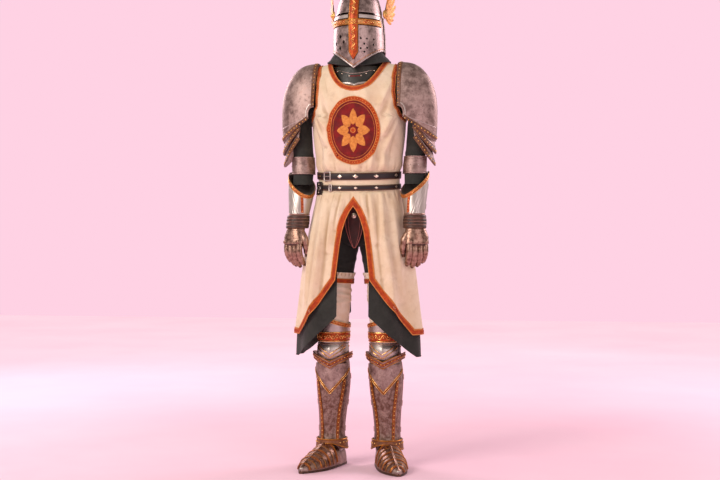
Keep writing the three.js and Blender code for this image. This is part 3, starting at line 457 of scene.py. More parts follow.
class Paint:
    """A material under construction."""

    def __init__(self, name: str) -> None:
        """Start an empty material with its shader, its coordinates and its pointiness, for worn edges and
        painted shade in hollows.
        """
        self.material = bpy.data.materials.new(name)
        self.material.use_nodes = True
        self.tree = self.material.node_tree
        self.shader = self.tree.nodes["Principled BSDF"]
        self.coords = self.add("ShaderNodeTexCoord")
        # pointiness: high on convex edges for worn edges, low in concave places for painted shade
        self.wear = self.add("ShaderNodeNewGeometry").outputs["Pointiness"]

    def add(self, kind: str, values: dict | None = None, links: dict | None = None,
            **settings: object) -> bpy.types.Node:
        """Add a node with its socket values, the outputs linked into it and its own settings."""
        node = self.tree.nodes.new(kind)
        for key, value in settings.items():
            setattr(node, key, value)
        for key, value in (values or {}).items():
            node.inputs[key].default_value = value
        for key, source in (links or {}).items():
            self.tree.links.new(source, node.inputs[key])
        return node

    def noise(self, size: float, detail: float = 4.0, rough: float = 0.55) -> Socket:
        """A cloudy pattern with features of a size in millimetres."""
        values = {"Scale": repeats(size), "Detail": detail, "Roughness": rough}
        return self.add("ShaderNodeTexNoise", values,
            {"Vector": self.coords.outputs["Object"]}).outputs["Fac"]

    def cells(self, size: float) -> Socket:
        """Rounded cells of a size in millimetres."""
        node = self.add("ShaderNodeTexVoronoi", {"Scale": repeats(size)},
            {"Vector": self.coords.outputs["Object"]}, feature="SMOOTH_F1")
        return node.outputs["Distance"]

    def scratches(self, size: float, stretch: float, turn: float) -> Socket:
        """Fine streaks drawn out in one direction."""
        bend = self.add("ShaderNodeMapping", {"Rotation": (turn, turn * 0.7, turn),
            "Scale": (1, 1, 1 / stretch)}, {"Vector": self.coords.outputs["Object"]})
        values = {"Scale": repeats(size), "Detail": 2.0}
        return self.add("ShaderNodeTexNoise", values, {"Vector": bend.outputs["Vector"]}).outputs["Fac"]

    def between(self, source: Socket, low: float, high: float, to_low: float = 0.0,
                to_high: float = 1.0) -> Socket:
        """A value drawn from one range out to another."""
        values = {"From Min": low, "From Max": high, "To Min": to_low, "To Max": to_high}
        return self.add("ShaderNodeMapRange", values, {"Value": source}).outputs["Result"]

    def maths(self, kind: str, first: Socket | float, second: Socket | float) -> Socket:
        """Two values, or a value and a number, put together."""
        node = self.add("ShaderNodeMath", operation=kind)
        for k, value in enumerate((first, second)):
            if isinstance(value, (int, float)):
                node.inputs[k].default_value = value
            else:
                self.tree.links.new(value, node.inputs[k])
        return node.outputs["Value"]

    def blend(self, share: Socket, first: Socket | str, second: Socket | str) -> Socket:
        """Two colours blended by a share; each is sRGB hex or a linked colour."""
        node = self.add("ShaderNodeMix", data_type="RGBA")
        sockets = [s for s in node.inputs if s.type == "RGBA"]
        self.tree.links.new(share, node.inputs[0])
        for socket, value in zip(sockets, (first, second)):
            if isinstance(value, str):
                socket.default_value = linear(value)
            else:
                self.tree.links.new(value, socket)
        return next(s for s in node.outputs if s.type == "RGBA")

    def bump(self, height: Socket, distance: float, strength: float = 1.0,
             under: Socket | None = None) -> Socket:
        """A raised pattern, its height in millimetres, over one already there."""
        links = {"Height": height}
        if under is not None:
            links["Normal"] = under
        values = {"Distance": distance * MM, "Strength": strength}
        return self.add("ShaderNodeBump", values, links).outputs["Normal"]

    def finish(self, colour: Socket, rough: Socket, normal: Socket | None = None,
               **constants: float) -> bpy.types.Material:
        """Link the colour, roughness and relief, and set the shader's constants."""
        self.tree.links.new(colour, self.shader.inputs["Base Color"])
        self.tree.links.new(rough, self.shader.inputs["Roughness"])
        if normal is not None:
            self.tree.links.new(normal, self.shader.inputs["Normal"])
        for key, value in constants.items():
            self.shader.inputs[key.replace("_", " ").title().replace("Ior", "IOR")].default_value = value
        return self.material


@dataclass(frozen=True)
class Plate:
    """Hammered or polished plate: cloudy tone, small pits, streaks and rubbed edges catch the light."""

    name: str
    colour: str
    patina: str
    # the darkest tone: random dark spots, and painted shade in the hollows
    dark: str
    rough: float
    hammer: float = 0.35
    mottle: float = 34.0
    metal: float = 1.0

    def build(self) -> bpy.types.Material:
        """Make the material."""
        p = Paint(self.name)
        cloud = p.between(p.noise(self.mottle, 6.0, 0.66), 0.4, 0.62)
        colour = p.blend(cloud, self.patina, self.colour)
        spots = p.between(p.noise(self.mottle * 0.4, 6.0, 0.7), 0.53, 0.72, 0.0, 0.7)
        colour = p.blend(spots, colour, self.dark)
        streaks = p.scratches(3.0, 9.0, 0.6)
        colour = p.blend(p.between(streaks, 0.6, 0.8, 0.0, 0.22), colour, self.patina)
        rubbed = p.between(p.wear, 0.515, 0.56, 0.0, 0.55)
        colour = p.blend(rubbed, colour, self.colour)
        # painted shade: concave places, such as the joints between plates, are darkened towards the darkest
        # tone
        hollow = p.between(p.wear, 0.485, 0.43, 0.0, 0.75)
        colour = p.blend(hollow, colour, self.dark)
        rough = p.between(p.maths("ADD", cloud, spots), 0.0, 1.5, self.rough - 0.07, self.rough + 0.2)
        relief = p.bump(p.cells(15.0), self.hammer, 0.55)
        relief = p.bump(p.noise(2.4, 4.0), 0.10, 0.5, relief)
        relief = p.bump(streaks, 0.05, 0.5, relief)
        return p.finish(colour, rough, relief, metallic=self.metal)


@dataclass(frozen=True)
class Enamel:
    """Orange enamel in a metal ground: a warm, slightly clouded colour with dark specks, and painted shade in
    the hollows.
    """

    name: str
    colour: str
    deep: str
    dark: str

    def build(self) -> bpy.types.Material:
        """Make the material."""
        p = Paint(self.name)
        colour = p.blend(p.between(p.noise(9.0, 5.0), 0.35, 0.68), self.deep, self.colour)
        colour = p.blend(p.between(p.noise(2.2, 4.0), 0.58, 0.72, 0.0, 0.5), colour, self.dark)
        # painted shade: concave places are darkened towards the darkest tone
        colour = p.blend(p.between(p.wear, 0.487, 0.44, 0.0, 0.85), colour, self.dark)
        rough = p.between(p.noise(12.0), 0.3, 0.7, 0.34, 0.55)
        return p.finish(colour, rough, p.bump(p.noise(1.6), 0.08, 0.6), metallic=0.35)


@dataclass(frozen=True)
class Weave:
    """Woven or napped cloth: crossing threads, soft soiling, painted shade in its hollows, and a faint fuzz
    at grazing angles.
    """

    name: str
    colour: str
    shade: str
    # the darkest tone: slubs and soiling, and also painted shade in the hollows
    stain: str
    thread: float
    relief: float
    cloud: float = 70.0
    fuzz: float = 0.25
    stained: float = 0.35

    def build(self) -> bpy.types.Material:
        """Make the material."""
        p = Paint(self.name)
        threads = []
        for way in ("X", "Y"):
            links = {"Vector": p.coords.outputs["UV"]}
            values = {"Scale": repeats(self.thread) / 6.2832 * 3.1416, "Distortion": 0.6, "Detail": 1.0}
            wave = p.add("ShaderNodeTexWave", values, links, wave_type="BANDS", bands_direction=way)
            threads.append(wave.outputs["Fac"])
        cloth = p.maths("MULTIPLY", *threads)
        colour = p.blend(p.between(p.noise(self.cloud, 5.0, 0.6), 0.33, 0.66), self.shade, self.colour)
        colour = p.blend(p.between(cloth, 0.0, 0.5, 0.30, 0.0), colour, self.shade)
        slubs = p.between(p.noise(1.9, 3.0), 0.4, 0.75, 0.0, 0.16)
        colour = p.blend(slubs, colour, self.stain)
        soil = p.between(p.noise(self.cloud * 0.45, 6.0, 0.66), 0.54, 0.76, 0.0, self.stained)
        colour = p.blend(soil, colour, self.stain)
        # painted shade: concave places, such as the valleys beside folds, are darkened towards the darkest
        # tone
        hollow = p.between(p.wear, 0.496, 0.46, 0.0, 0.8)
        colour = p.blend(hollow, colour, self.stain)
        relief = p.bump(cloth, self.relief, 0.5)
        relief = p.bump(p.noise(3.2, 5.0), self.relief * 1.2, 0.4, relief)
        rough = p.between(p.noise(20.0), 0.3, 0.7, 0.82, 0.95)
        return p.finish(colour, rough, relief, sheen_weight=self.fuzz)


@dataclass(frozen=True)
class Hide:
    """Strap leather: pebbled grain, cracks along the bends and paler rubbed edges."""

    name: str
    colour: str
    shade: str
    rubbed: str
    rough: float = 0.5
    gloss: float = 0.5

    def build(self) -> bpy.types.Material:
        """Make the material."""
        p = Paint(self.name)
        colour = p.blend(p.between(p.noise(22.0, 5.0), 0.35, 0.66), self.shade, self.colour)
        grain = p.cells(2.2)
        colour = p.blend(p.between(grain, 0.0, 0.35, 0.35, 0.0), colour, self.shade)
        colour = p.blend(p.between(p.wear, 0.51, 0.56, 0.0, 0.6), colour, self.rubbed)
        rough = p.between(p.noise(6.0), 0.3, 0.7, self.rough - 0.1, self.rough + 0.14)
        relief = p.bump(grain, 0.16, 0.6)
        return p.finish(colour, rough, p.bump(p.noise(5.0, 5.0), 0.22, 0.5, relief),
            specular_ior_level=self.gloss)


@dataclass(frozen=True)
class Ground:
    """A smooth pale studio floor with a trace of tone; it glows away from the suit, so that no edge shows."""

    name: str
    colour: str
    shade: str

    def build(self) -> bpy.types.Material:
        """Make the material."""
        p = Paint(self.name)
        colour = p.blend(p.between(p.noise(900.0, 3.0), 0.3, 0.7), self.shade, self.colour)
        rough = p.between(p.noise(160.0, 4.0), 0.3, 0.7, 0.6, 0.72)
        far = p.add("ShaderNodeVectorMath", None, {0: p.coords.outputs["Object"]}, operation="LENGTH")
        # painted light: the floor emits more light the further it lies from the suit's middle
        glow = p.between(far.outputs["Value"], 1.2, 5.0, 0.0, 0.62)
        p.tree.links.new(colour, p.shader.inputs["Emission Color"])
        p.tree.links.new(glow, p.shader.inputs["Emission Strength"])
        return p.finish(colour, rough, p.bump(p.noise(8.0), 0.02, 0.3))


class Finish(enum.Enum):
    """The real materials of the suit."""

    # Aged plate with pinkish-grey clouds that break up the broad reflections.
    STEEL = Plate("hammered_steel", "#B79F97", "#8A726B", "#40302A", 0.5, 0.5, 26.0)
    # Cleaner plate, warmer and smoother, so that edges shine.
    BRIGHT = Plate("bright_steel", "#E2CFC0", "#AE9484", "#5A4438", 0.28, 0.25, 40.0)
    # The helm's own plate, darker between its marks.
    HELM = Plate("helm_steel", "#AF9A93", "#7E6A66", "#31241F", 0.36, 0.4, 24.0)
    # Shin plate with brown blotches left by damp.
    MOTTLED = Plate("mottled_steel", "#A58F83", "#6C5347", "#38251C", 0.42, 0.5, 15.0)
    # Bronzed steel of the hands, with painted shade making it nearly brown in the joints.
    AGED = Plate("bronzed_steel", "#B2917F", "#77584A", "#321F17", 0.34, 0.25, 14.0)
    # Blackened iron in the grooves beside the straps.
    IRON = Plate("blackened_iron", "#3C2A22", "#241711", "#120B08", 0.5, 0.1, 10.0)
    # Old gilding, bright on the rubbed edges, with painted shade browning its hollows.
    GILT = Plate("aged_gilt", "#C07F3C", "#7A4718", "#2E1508", 0.36, 0.1, 12.0)
    # Worn brass, with painted shade browning the hollows of its relief.
    BRASS = Plate("worn_brass", "#D09E66", "#9A6032", "#4A2410", 0.36, 0.1, 9.0)
    # Paler gilding on fine relief and studs.
    GOLD = Plate("pale_gold", "#F0BE72", "#BC7E38", "#4A2810", 0.3, 0.05, 9.0)
    ENAMEL = Enamel("orange_enamel", "#CB560F", "#8F2F07", "#3C1204")
    BRONZE = Enamel("bronze_enamel", "#A9581C", "#6A3010", "#2F1407")
    CREAM = Weave("cream_wool", "#EBDCC0", "#DCC6A2", "#A2845E", 1.3, 0.22)
    HOSE = Weave("cream_hose", "#FFF4E0", "#F4E0C0", "#CDAE86", 1.0, 0.18, 40.0)
    BRAID = Weave("orange_braid", "#C9500C", "#9A3207", "#5A1C04", 2.4, 0.55, 16.0, 0.1)
    THREAD = Weave("gold_thread", "#EBA04C", "#C0702A", "#6E3410", 1.2, 0.3, 10.0, 0.1)
    DARK = Weave("charcoal_wool", "#2D302A", "#1D1F1A", "#10100E", 1.4, 0.3, 50.0, 0.12)
    RED = Weave("red_felt", "#8C0909", "#5C0404", "#2E0202", 1.1, 0.25, 26.0, 0.1)
    MAROON = Weave("maroon_cloth", "#3E0E0C", "#260806", "#120303", 1.0, 0.2, 22.0, 0.1)
    LEATHER = Hide("brown_leather", "#4C2B19", "#29140B", "#7E5030")
    TAN = Hide("tan_leather", "#8E5324", "#5C3012", "#C58A4A")
    BELT = Hide("belt_leather", "#1C0604", "#0D0302", "#3C170F", 0.62, 0.2)
    OLIVE = Hide("olive_leather", "#2F2D23", "#1B1B14", "#5E5A48", 0.48)
    PIPING = Weave("pink_piping", "#A85C54", "#7C3A34", "#461A18", 1.0, 0.2, 12.0, 0.1)
    # Worn tin studs, warm white.
    STUD = Plate("tin_studs", "#F6E8D4", "#CDB89C", "#6E5540", 0.32, 0.05, 8.0)
    FLOOR = Ground("studio_floor", "#FAD3E2", "#F7CBDC")

    @property
    def material(self) -> bpy.types.Material:
        """The built material, made once."""
        return bpy.data.materials.get(self.value.name) or self.value.build()


# ---------------------------------------------------------------- placing pieces


def place(name: str, shapes: Shape | list[Shape], finish: Finish, slot: Slot | None = None,
          replaces: Sequence[str] = (), body: Body = Body.SUIT, sharp: float = 38.0,
          bevel: float = 0.0) -> bpy.types.Object:
    """Turn one or more shapes into an object that rides on its body.

    Args:
        name: the piece's name.
        shapes: points in millimetres, in the suit's own frame.
        finish: what it is made of.
        slot: the record's material slot, which is only tested for none: none for the stage and for a piece
            that is owned later.
        replaces: the frame's nodes that it stands for.
        body: the rigid body that carries it.
        sharp: edges that bend by more degrees than this stay crisp.
        bevel: width in millimetres of a small rounding on its crisp edges.

    Returns:
        The object.
    """
    shape = shapes if isinstance(shapes, Shape) else Shape.joined(shapes)
    mesh = bpy.data.meshes.new(name)
    points = (shape.points + np.array([0.0, BODY_SHIFT_Y, 0.0])) * MM
    mesh.from_pydata(points.tolist(), [], shape.faces)
    layer = mesh.uv_layers.new(name="along")
    flat = [part for face in shape.along for uv in face for part in uv]
    layer.data.foreach_set("uv", flat)
    mesh.materials.append(finish.material)
    tidy_mesh(mesh)
    thing = bpy.data.objects.new(name, mesh)
    bpy.context.scene.collection.objects.link(thing)
    if bevel:
        applied(thing, "BEVEL", width=bevel * MM, segments=2, limit_method="ANGLE",
            angle_limit=math.radians(50))
    thing.data.shade_smooth()
    thing.data.set_sharp_from_angle(angle=math.radians(sharp))
    if slot is not None:
        own(thing, body, slot, replaces)
    log.info("%s: %d faces, %s", name, len(thing.data.polygons), finish.value.name)
    return thing


def own(thing: bpy.types.Object, body: Body, slot: Slot, replaces: Sequence[str]) -> None:
    """Give a finished piece to its body, and hide the frame's nodes it stands for."""
    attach(thing, body.value)
    if replaces:
        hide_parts(*replaces)


def tidy_mesh(mesh: bpy.types.Mesh) -> None:
    """Join points that coincide and make every face point outwards."""
    work = bmesh.new()
    work.from_mesh(mesh)
    bmesh.ops.remove_doubles(work, verts=work.verts, dist=2e-6)
    bmesh.ops.dissolve_degenerate(work, edges=work.edges, dist=1e-6)
    bmesh.ops.recalc_face_normals(work, faces=work.faces)
    work.to_mesh(mesh)
    work.free()


def applied(thing: bpy.types.Object, kind: str, **settings: object) -> None:
    """Add a modifier to an object and keep only its result."""
    modifier = thing.modifiers.new(kind.lower(), kind)
    for key, value in settings.items():
        setattr(modifier, key, value)
    graph = bpy.context.evaluated_depsgraph_get()
    made = bpy.data.meshes.new_from_object(thing.evaluated_get(graph))
    thing.modifiers.clear()
    thing.data = made


def combine(thing: bpy.types.Object, shape: Shape, operation: str = "DIFFERENCE") -> None:
    """Join closed shapes to an object, or take them away."""
    mesh = bpy.data.meshes.new("tool")
    mesh.from_pydata(((shape.points + np.array([0.0, BODY_SHIFT_Y, 0.0])) * MM).tolist(), [], shape.faces)
    tidy_mesh(mesh)
    tool = bpy.data.objects.new("tool", mesh)
    bpy.context.scene.collection.objects.link(tool)
    applied(thing, "BOOLEAN", object=tool, operation=operation, solver="EXACT")
    bpy.data.objects.remove(tool)
    bpy.data.meshes.remove(mesh)


def prism(outline: Sequence[tuple[float, float]], near: float, far: float) -> Shape:
    """A closed prism along Y whose outline is given in X and Z."""
    return tube(np.array([[(x, y, z) for x, z in outline] for y in (near, far)], float))


# ---------------------------------------------------------------- the suit's surfaces


def table(columns: str, *rows: Sequence[float]) -> Table:
    """Rows of numbers under named columns."""
    return [dict(zip(columns.split(), row)) for row in rows]


def rows_of(kind: type, *rows: Sequence[float]) -> tuple:
    """One thing of a kind for each row of its sizes."""
    return tuple(kind(*row) for row in rows)


BODY = table("z wide front back", (415, 249, 186, 194), (505, 245, 180, 187), (627, 230, 169, 173),
    (741, 217, 158, 158), (836, 204, 148, 146), (970, 176, 131, 124), (1050, 158, 119, 108),
    (1120, 158, 118, 106), (1200, 170, 126, 112), (1273, 178, 130, 117), (1380, 182, 128, 118))
HELM = table("z wide front back ridge", (1495, 92, 112, 108, 8), (1573, 97, 120, 118, 9),
    (1640, 96, 122, 122, 9), (1700, 89, 118, 120, 8), (1767, 74, 98, 102, 6), (1805, 55, 74, 78, 4),
    (1832, 33, 44, 47, 2), (1850, 0, 0, 0, 0))

CHEST_TOP = 1380.0
SHOULDER_ARC = 200.0
RIDGE = 1556.0
RIDGE_FALL = 0.215
HEM = 505.0


def two_sided(rows: Table, phi: np.ndarray, z: np.ndarray, key: str = "z") -> np.ndarray:
    """A section's depth, which differs in front and behind."""
    return np.where(np.cos(phi) > 0, read(rows, "front", z, key), read(rows, "back", z, key))


def skirt_fold(phi: np.ndarray, z: np.ndarray) -> np.ndarray:
    """How far the skirt's long folds stand out."""
    grown = smoothstep(1040.0 - z, 0.0, 420.0)
    return 9.0 * grown * (0.6 * np.cos(9 * phi + 0.6) + 0.4 * np.cos(5 * phi - 1.1))


def body_point(phi: np.ndarray, h: np.ndarray) -> np.ndarray:
    """The surcoat's outer face, by height below the chest's top and by way over the shoulder above it."""
    quarter = np.maximum(h, 0.0) / SHOULDER_ARC * math.pi / 2
    level = np.minimum(CHEST_TOP + h, CHEST_TOP)
    fold = skirt_fold(phi, level)
    x = (read(BODY, "wide", level) + fold) * np.sin(phi)
    z = level + (RIDGE - RIDGE_FALL * np.abs(x) - CHEST_TOP) * np.sin(quarter)
    return stack(x, -(two_sided(BODY, phi, level) + fold) * np.cos(phi) * np.cos(quarter), z)


def over_shoulder(phi: np.ndarray, way: np.ndarray) -> np.ndarray:
    """The same face as one surface that runs up the front, over the shoulder ridge and down the back."""
    behind = way > SHOULDER_ARC
    return body_point(np.where(behind, math.pi - phi, phi), np.where(behind, 2 * SHOULDER_ARC - way, way))


def place_on_body(x: float, z: float, behind: bool = False) -> tuple[float, float]:
    """The angle and way of the point of the surcoat at an x and z, for over_shoulder."""
    ridge = RIDGE - RIDGE_FALL * abs(x)
    if z <= CHEST_TOP:
        h = z - CHEST_TOP
    else:
        h = math.asin(min(1.0, (z - CHEST_TOP) / (ridge - CHEST_TOP))) / (math.pi / 2) * SHOULDER_ARC
    level = min(z, CHEST_TOP)
    phi = 0.0
    for _ in range(12):
        turned = math.pi - phi if behind else phi
        wide = float(read(BODY, "wide", np.array(level)) + skirt_fold(np.array(turned), np.array(level)))
        phi = math.asin(max(-1.0, min(1.0, x / wide)))
    return phi, 2 * SHOULDER_ARC - h if behind else h


def helm_point(phi: np.ndarray, z: np.ndarray) -> np.ndarray:
    """The helm's outer face."""
    keel = read(HELM, "ridge", z) * np.exp(-((phi / math.radians(13)) ** 2))
    return stack(read(HELM, "wide", z) * np.sin(phi), -(two_sided(HELM, phi, z) + keel) * np.cos(phi), z)


def helm_front(x: np.ndarray, z: np.ndarray) -> np.ndarray:
    """The helm's outer face in front, by x and z."""
    return helm_point(np.arcsin(np.clip(x / np.maximum(read(HELM, "wide", z), 1.0), -1, 1)), z)


def limb(rows: Table) -> Surface:
    """The surface of a limb whose sections are level: angle round it and height."""

    def surface(angle: np.ndarray, z: np.ndarray) -> np.ndarray:
        """The point at an angle and a height."""
        return stack(read(rows, "x", z) + read(rows, "wide", z) * np.sin(angle),
            read(rows, "y", z) - read(rows, "deep", z) * np.cos(angle), z)

    return surface


def between(surface: Surface, low: Callable | float, high: Callable | float) -> Surface:
    """A surface's part between two edges, each level or set along the first direction, by share."""
    first, last = (edge if callable(edge) else (lambda u, height=edge: height + 0 * u)
        for edge in (low, high))
    return lambda u, part: surface(u, first(u) + (last(u) - first(u)) * part)


def level(surface: Surface, z: float, span: float = 180.0, middle: float = 0.0) -> Line:
    """A line round a surface at one height; a span of 180 degrees either way closes it."""
    closed = span >= 180.0
    angles = np.radians(np.linspace(middle - span, middle + span, 73))
    if closed:
        angles = angles[:-1]
    return Line(surface, np.stack([angles, np.full_like(angles, z)], axis=-1), closed)


def along(surface: Surface, *places: tuple[float, float]) -> Line:
    """A line through some places of a surface, the first number of each in degrees."""
    return Line(surface, np.array([(math.radians(a), b) for a, b in places], float))


def blob(centre: Sequence[float], normal: Sequence[float], radius: float, height: float,
         sides: int = 12) -> Shape:
    """A domed boss that stands on a point."""
    up = unit(np.asarray(normal, float))
    first = unit(np.cross(up, (0.3, 0.2, 1.0)))
    second = np.cross(up, first)
    turn = np.linspace(0.0, 2 * math.pi, sides, endpoint=False)
    spokes = np.cos(turn)[:, None] * first + np.sin(turn)[:, None] * second
    rings = [np.asarray(centre, float) + spokes * radius * math.cos(math.radians(bend))
        + up * height * math.sin(math.radians(bend)) for bend in (-14, 0, 22, 44, 64, 82)]
    return tube(np.array(rings))


def peg(centre: np.ndarray, normal: np.ndarray, radius: float, sides: int, tall: float = 1.0) -> Shape:
    """A straight-sided cutter that passes through a plate."""
    up = unit(normal)
    first = unit(np.cross(up, (0.0, 0.0, 1.0)))
    second = np.cross(up, first)
    turn = np.linspace(0.0, 2 * math.pi, sides, endpoint=False)
    spokes = np.cos(turn)[:, None] * first + np.sin(turn)[:, None] * second * tall
    return tube(np.array([centre + up * far + spokes * radius for far in (-9.0, 9.0)]))


# ---------------------------------------------------------------- helm


@dataclass
class Feather:
    """One feather of a wing: its angle above level, and its length."""

    angle: float
    length: float
    half: float = 9.5
    thick: float = 3.4
    step: float = 0.0

    def shape(self, origin: np.ndarray, out: np.ndarray, up: np.ndarray, face: np.ndarray) -> Shape:
        """The blade, with a raised quill and notched barbs.

        Args:
            origin: where the wing grows from.
            out: the way that angle zero points.
            up: the way that a right angle points.
            face: the way the wing's outer face looks.
        """
        rings = []
        for part in np.linspace(0.0, 1.0, 26):
            bend = math.radians(self.angle + 9.0 * part * part - 3.0)
            run = out * math.cos(bend) + up * math.sin(bend)
            side = up * math.cos(bend) - out * math.sin(bend)
            wide = self.half * (0.55 + 0.45 * math.sin(math.pi * min(1.0, part * 0.86 + 0.08)))
            wide *= math.sqrt(max(0.0, 1.0 - max(0.0, (part - 0.8) / 0.2) ** 2.2)) + 0.03
            notch = 1.0 - 0.07 * (round(part * 25) % 4 == 3) * (part > 0.35)
            middle = origin + run * self.length * (0.1 + 0.9 * part) + face * self.step
            thick = self.thick * (1.0 - 0.45 * part)
            section = [(-1, 0.12), (-0.62, 0.62), (-0.18, 0.66), (0, 1), (0.18, 0.66), (0.62, 0.62),
                (1, 0.12), (0.6, -0.3), (0, -0.4), (-0.6, -0.3)]
            rings.append([middle + side * a * wide * notch + face * b * thick * 0.6 for a, b in section])
        return tube(np.array(rings))


@dataclass
class GreatHelm:
    """The closed helm, lifted off as one: face and rear plates, crown, cross straps, brow bars and wings."""

    plate: float = 2.2
    brow: float = 1702.8
    crown_low: float = 1703.3
    band: tuple[float, float] = (1662.0, 1684.0)
    upright: float = 16.0
    chin: float = 1500.0
    cheek: float = 1573.0
    wing_turn: float = 71.0
    wing_root: tuple[float, float, float] = (97.0, 2.0, 1716.0)
    feathers: tuple[tuple[float, float], ...] = ((-32, 62), (-13, 74), (5, 88), (22, 104), (38, 122),
        (53, 140), (67, 156))
    diamonds: tuple[tuple[float, float], ...] = ((-33, 1621), (-48.5, 1598), (-23.5, 1600), (-34.5, 1578))
    rounds: tuple[tuple[float, float], ...] = ((16, 1611), (29.5, 1611), (46.5, 1610), (23.5, 1591),
        (45.8, 1591), (15.5, 1574), (30, 1577), (24, 1562))

    def low_edge(self, phi: np.ndarray) -> np.ndarray:
        """The height of the face plate's lower edge, a shallow V."""
        x = np.abs(np.sin(phi)) * 95.0
        return self.chin + (self.cheek - self.chin) * np.minimum(x / 95.0, 1.0)

    def build(self) -> None:
        """Make every piece of the helm."""
        self.face()
        self.rear()
        self.crown()
        self.cross()
        self.brows()
        for side in Side:
            self.wing(side)

    def put(self, name: str, shapes: Shape | list[Shape], finish: Finish, slot: Slot,
            replaces: Sequence[str] = (), **settings: float) -> bpy.types.Object:
        """Place shapes on the helm's own body."""
        return place(f"helm_{name}", shapes, finish, slot, replaces, Body.HELM, **settings)

    def face(self) -> None:
        """The face plate with its breath holes, rolled edge and rivets."""
        surface = between(helm_point, self.low_edge, self.brow)
        us, vs = mesh_grid(np.radians(np.linspace(-95, 95, 97)), np.linspace(0, 1, 56))
        plate = place("helm_face_plate", wall(surface(us, vs), self.plate, -self.plate), Finish.HELM,
            bevel=0.5)
        pegs = []
        for (angle, z), radius, sides, tall in (*((spot, 6.4, 4, 1.35) for spot in self.diamonds),
                                                *((spot, 4.0, 14, 1.0) for spot in self.rounds)):
            line = along(helm_point, (angle, z))
            spot = line.places[0]
            pegs.append(peg(line.point(spot), line.normals(spot), radius, sides, tall))
        combine(plate, Shape.joined(pegs))
        own(plate, Body.HELM, Slot.STEEL, ["helm_face"])
        angles = np.linspace(-94, 94, 61)
        edge = along(helm_point, *[(a, float(self.low_edge(np.array(math.radians(a)))) + 3.0)
            for a in angles])
        self.put("face_rim", edge.even(4.0).cord(2.6, 2.2, -0.2), Finish.BRIGHT, Slot.STEEL)
        inner = edge.moved(7.0).even(4.0)
        self.put("face_line", inner.cord(1.0, 0.8, -0.1), Finish.GILT, Slot.STEEL)
        seams = [along(helm_point, (side * 90.0, 1584), (side * 90.0, 1652)) for side in (-1, 1)]
        rivets = [seam.studs(17.0, 2.8, 2.2, 0.0) for seam in seams]
        rivets.append(edge.moved(3.6).studs(25.0, 2.0, 1.7, 0.1))
        self.put("face_rivets", rivets, Finish.BRIGHT, Slot.STEEL)

    def rear(self) -> None:
        """The rear plate, outside the face plate's edges, with a rolled lower edge."""

        def low(phi: np.ndarray) -> np.ndarray:
            """The lower edge, deeper behind."""
            return self.cheek - 26.0 * np.maximum(0.0, -np.cos(phi))

        surface = between(helm_point, low, self.brow)
        us, vs = mesh_grid(np.radians(np.linspace(88, 272, 89)), np.linspace(0, 1, 34))
        self.put("rear_plate", wall(surface(us, vs), self.plate, 1.2), Finish.HELM, Slot.STEEL,
            ["helm_rear"], bevel=0.5)
        angles = np.linspace(88.5, 271.5, 61)
        edge = along(helm_point, *[(a, float(low(np.array(math.radians(a)))) + 2.6)
            for a in angles]).even(4.0)
        self.put("rear_rim", edge.cord(2.4, 2.0, 3.2), Finish.BRIGHT, Slot.STEEL)
        spine = along(helm_point, (180, 1560), (180, 1706)).even(5.0)
        rivets = [spine.studs(24.0, 3.0, 2.4, 3.2)]
        rivets += [along(helm_point, (a, 1590), (a, 1700)).studs(22.0, 2.5, 2.0, 3.2) for a in (93.5, 266.5)]
        rivets.append(along(helm_point, *[(a, 1704) for a in np.linspace(98, 262, 33)]).studs(26, 2.5, 2.0,
            3.2))
        self.put("rear_rivets", rivets, Finish.BRIGHT, Slot.STEEL)

    def crown(self) -> None:
        """The domed crown with the sight slits' upper edges, two seams and a cap at the top."""
        heights = self.crown_low + (1849.6 - self.crown_low) * np.sin(np.linspace(0, math.pi / 2, 46))
        us, vs = mesh_grid(ring_angles(144), heights)
        dome_plate = place("helm_crown_plate", wall(helm_point(us, vs), self.plate, -self.plate, True),
            Finish.HELM, bevel=0.4)
        slits = [prism([(s * 9, 1696), (s * 72, 1696), (s * 72, 1709.5), (s * 69, 1710.5),
            (s * 12, 1710.5), (s * 9, 1709.5)], -160, -20) for s in (-1, 1)]
        combine(dome_plate, Shape.joined(slits))
        own(dome_plate, Body.HELM, Slot.STEEL, ["helm_crown"])
        seams = [along(helm_point, *[(a, z) for z in np.linspace(1716, 1838, 24)]) for a in (90, 180, -90)]
        ribs = [seam.even(4.0).strip(flat_band(7, 1.2, 1.8, -0.4)[::-1]) for seam in seams]
        self.put("crown_straps", ribs, Finish.HELM, Slot.STEEL)
        self.put("crown_rivets", [seam.studs(19.0, 2.6, 2.0, 1.6) for seam in seams], Finish.BRIGHT,
            Slot.STEEL)
        cap = blob((0, 0, 1845.5), (0, 0, 1), 15, 6, 32)
        self.put("crown_cap", [cap, blob((0, 0, 1850.0), (0, 0, 1), 6, 5, 20)], Finish.GILT, Slot.GILT)

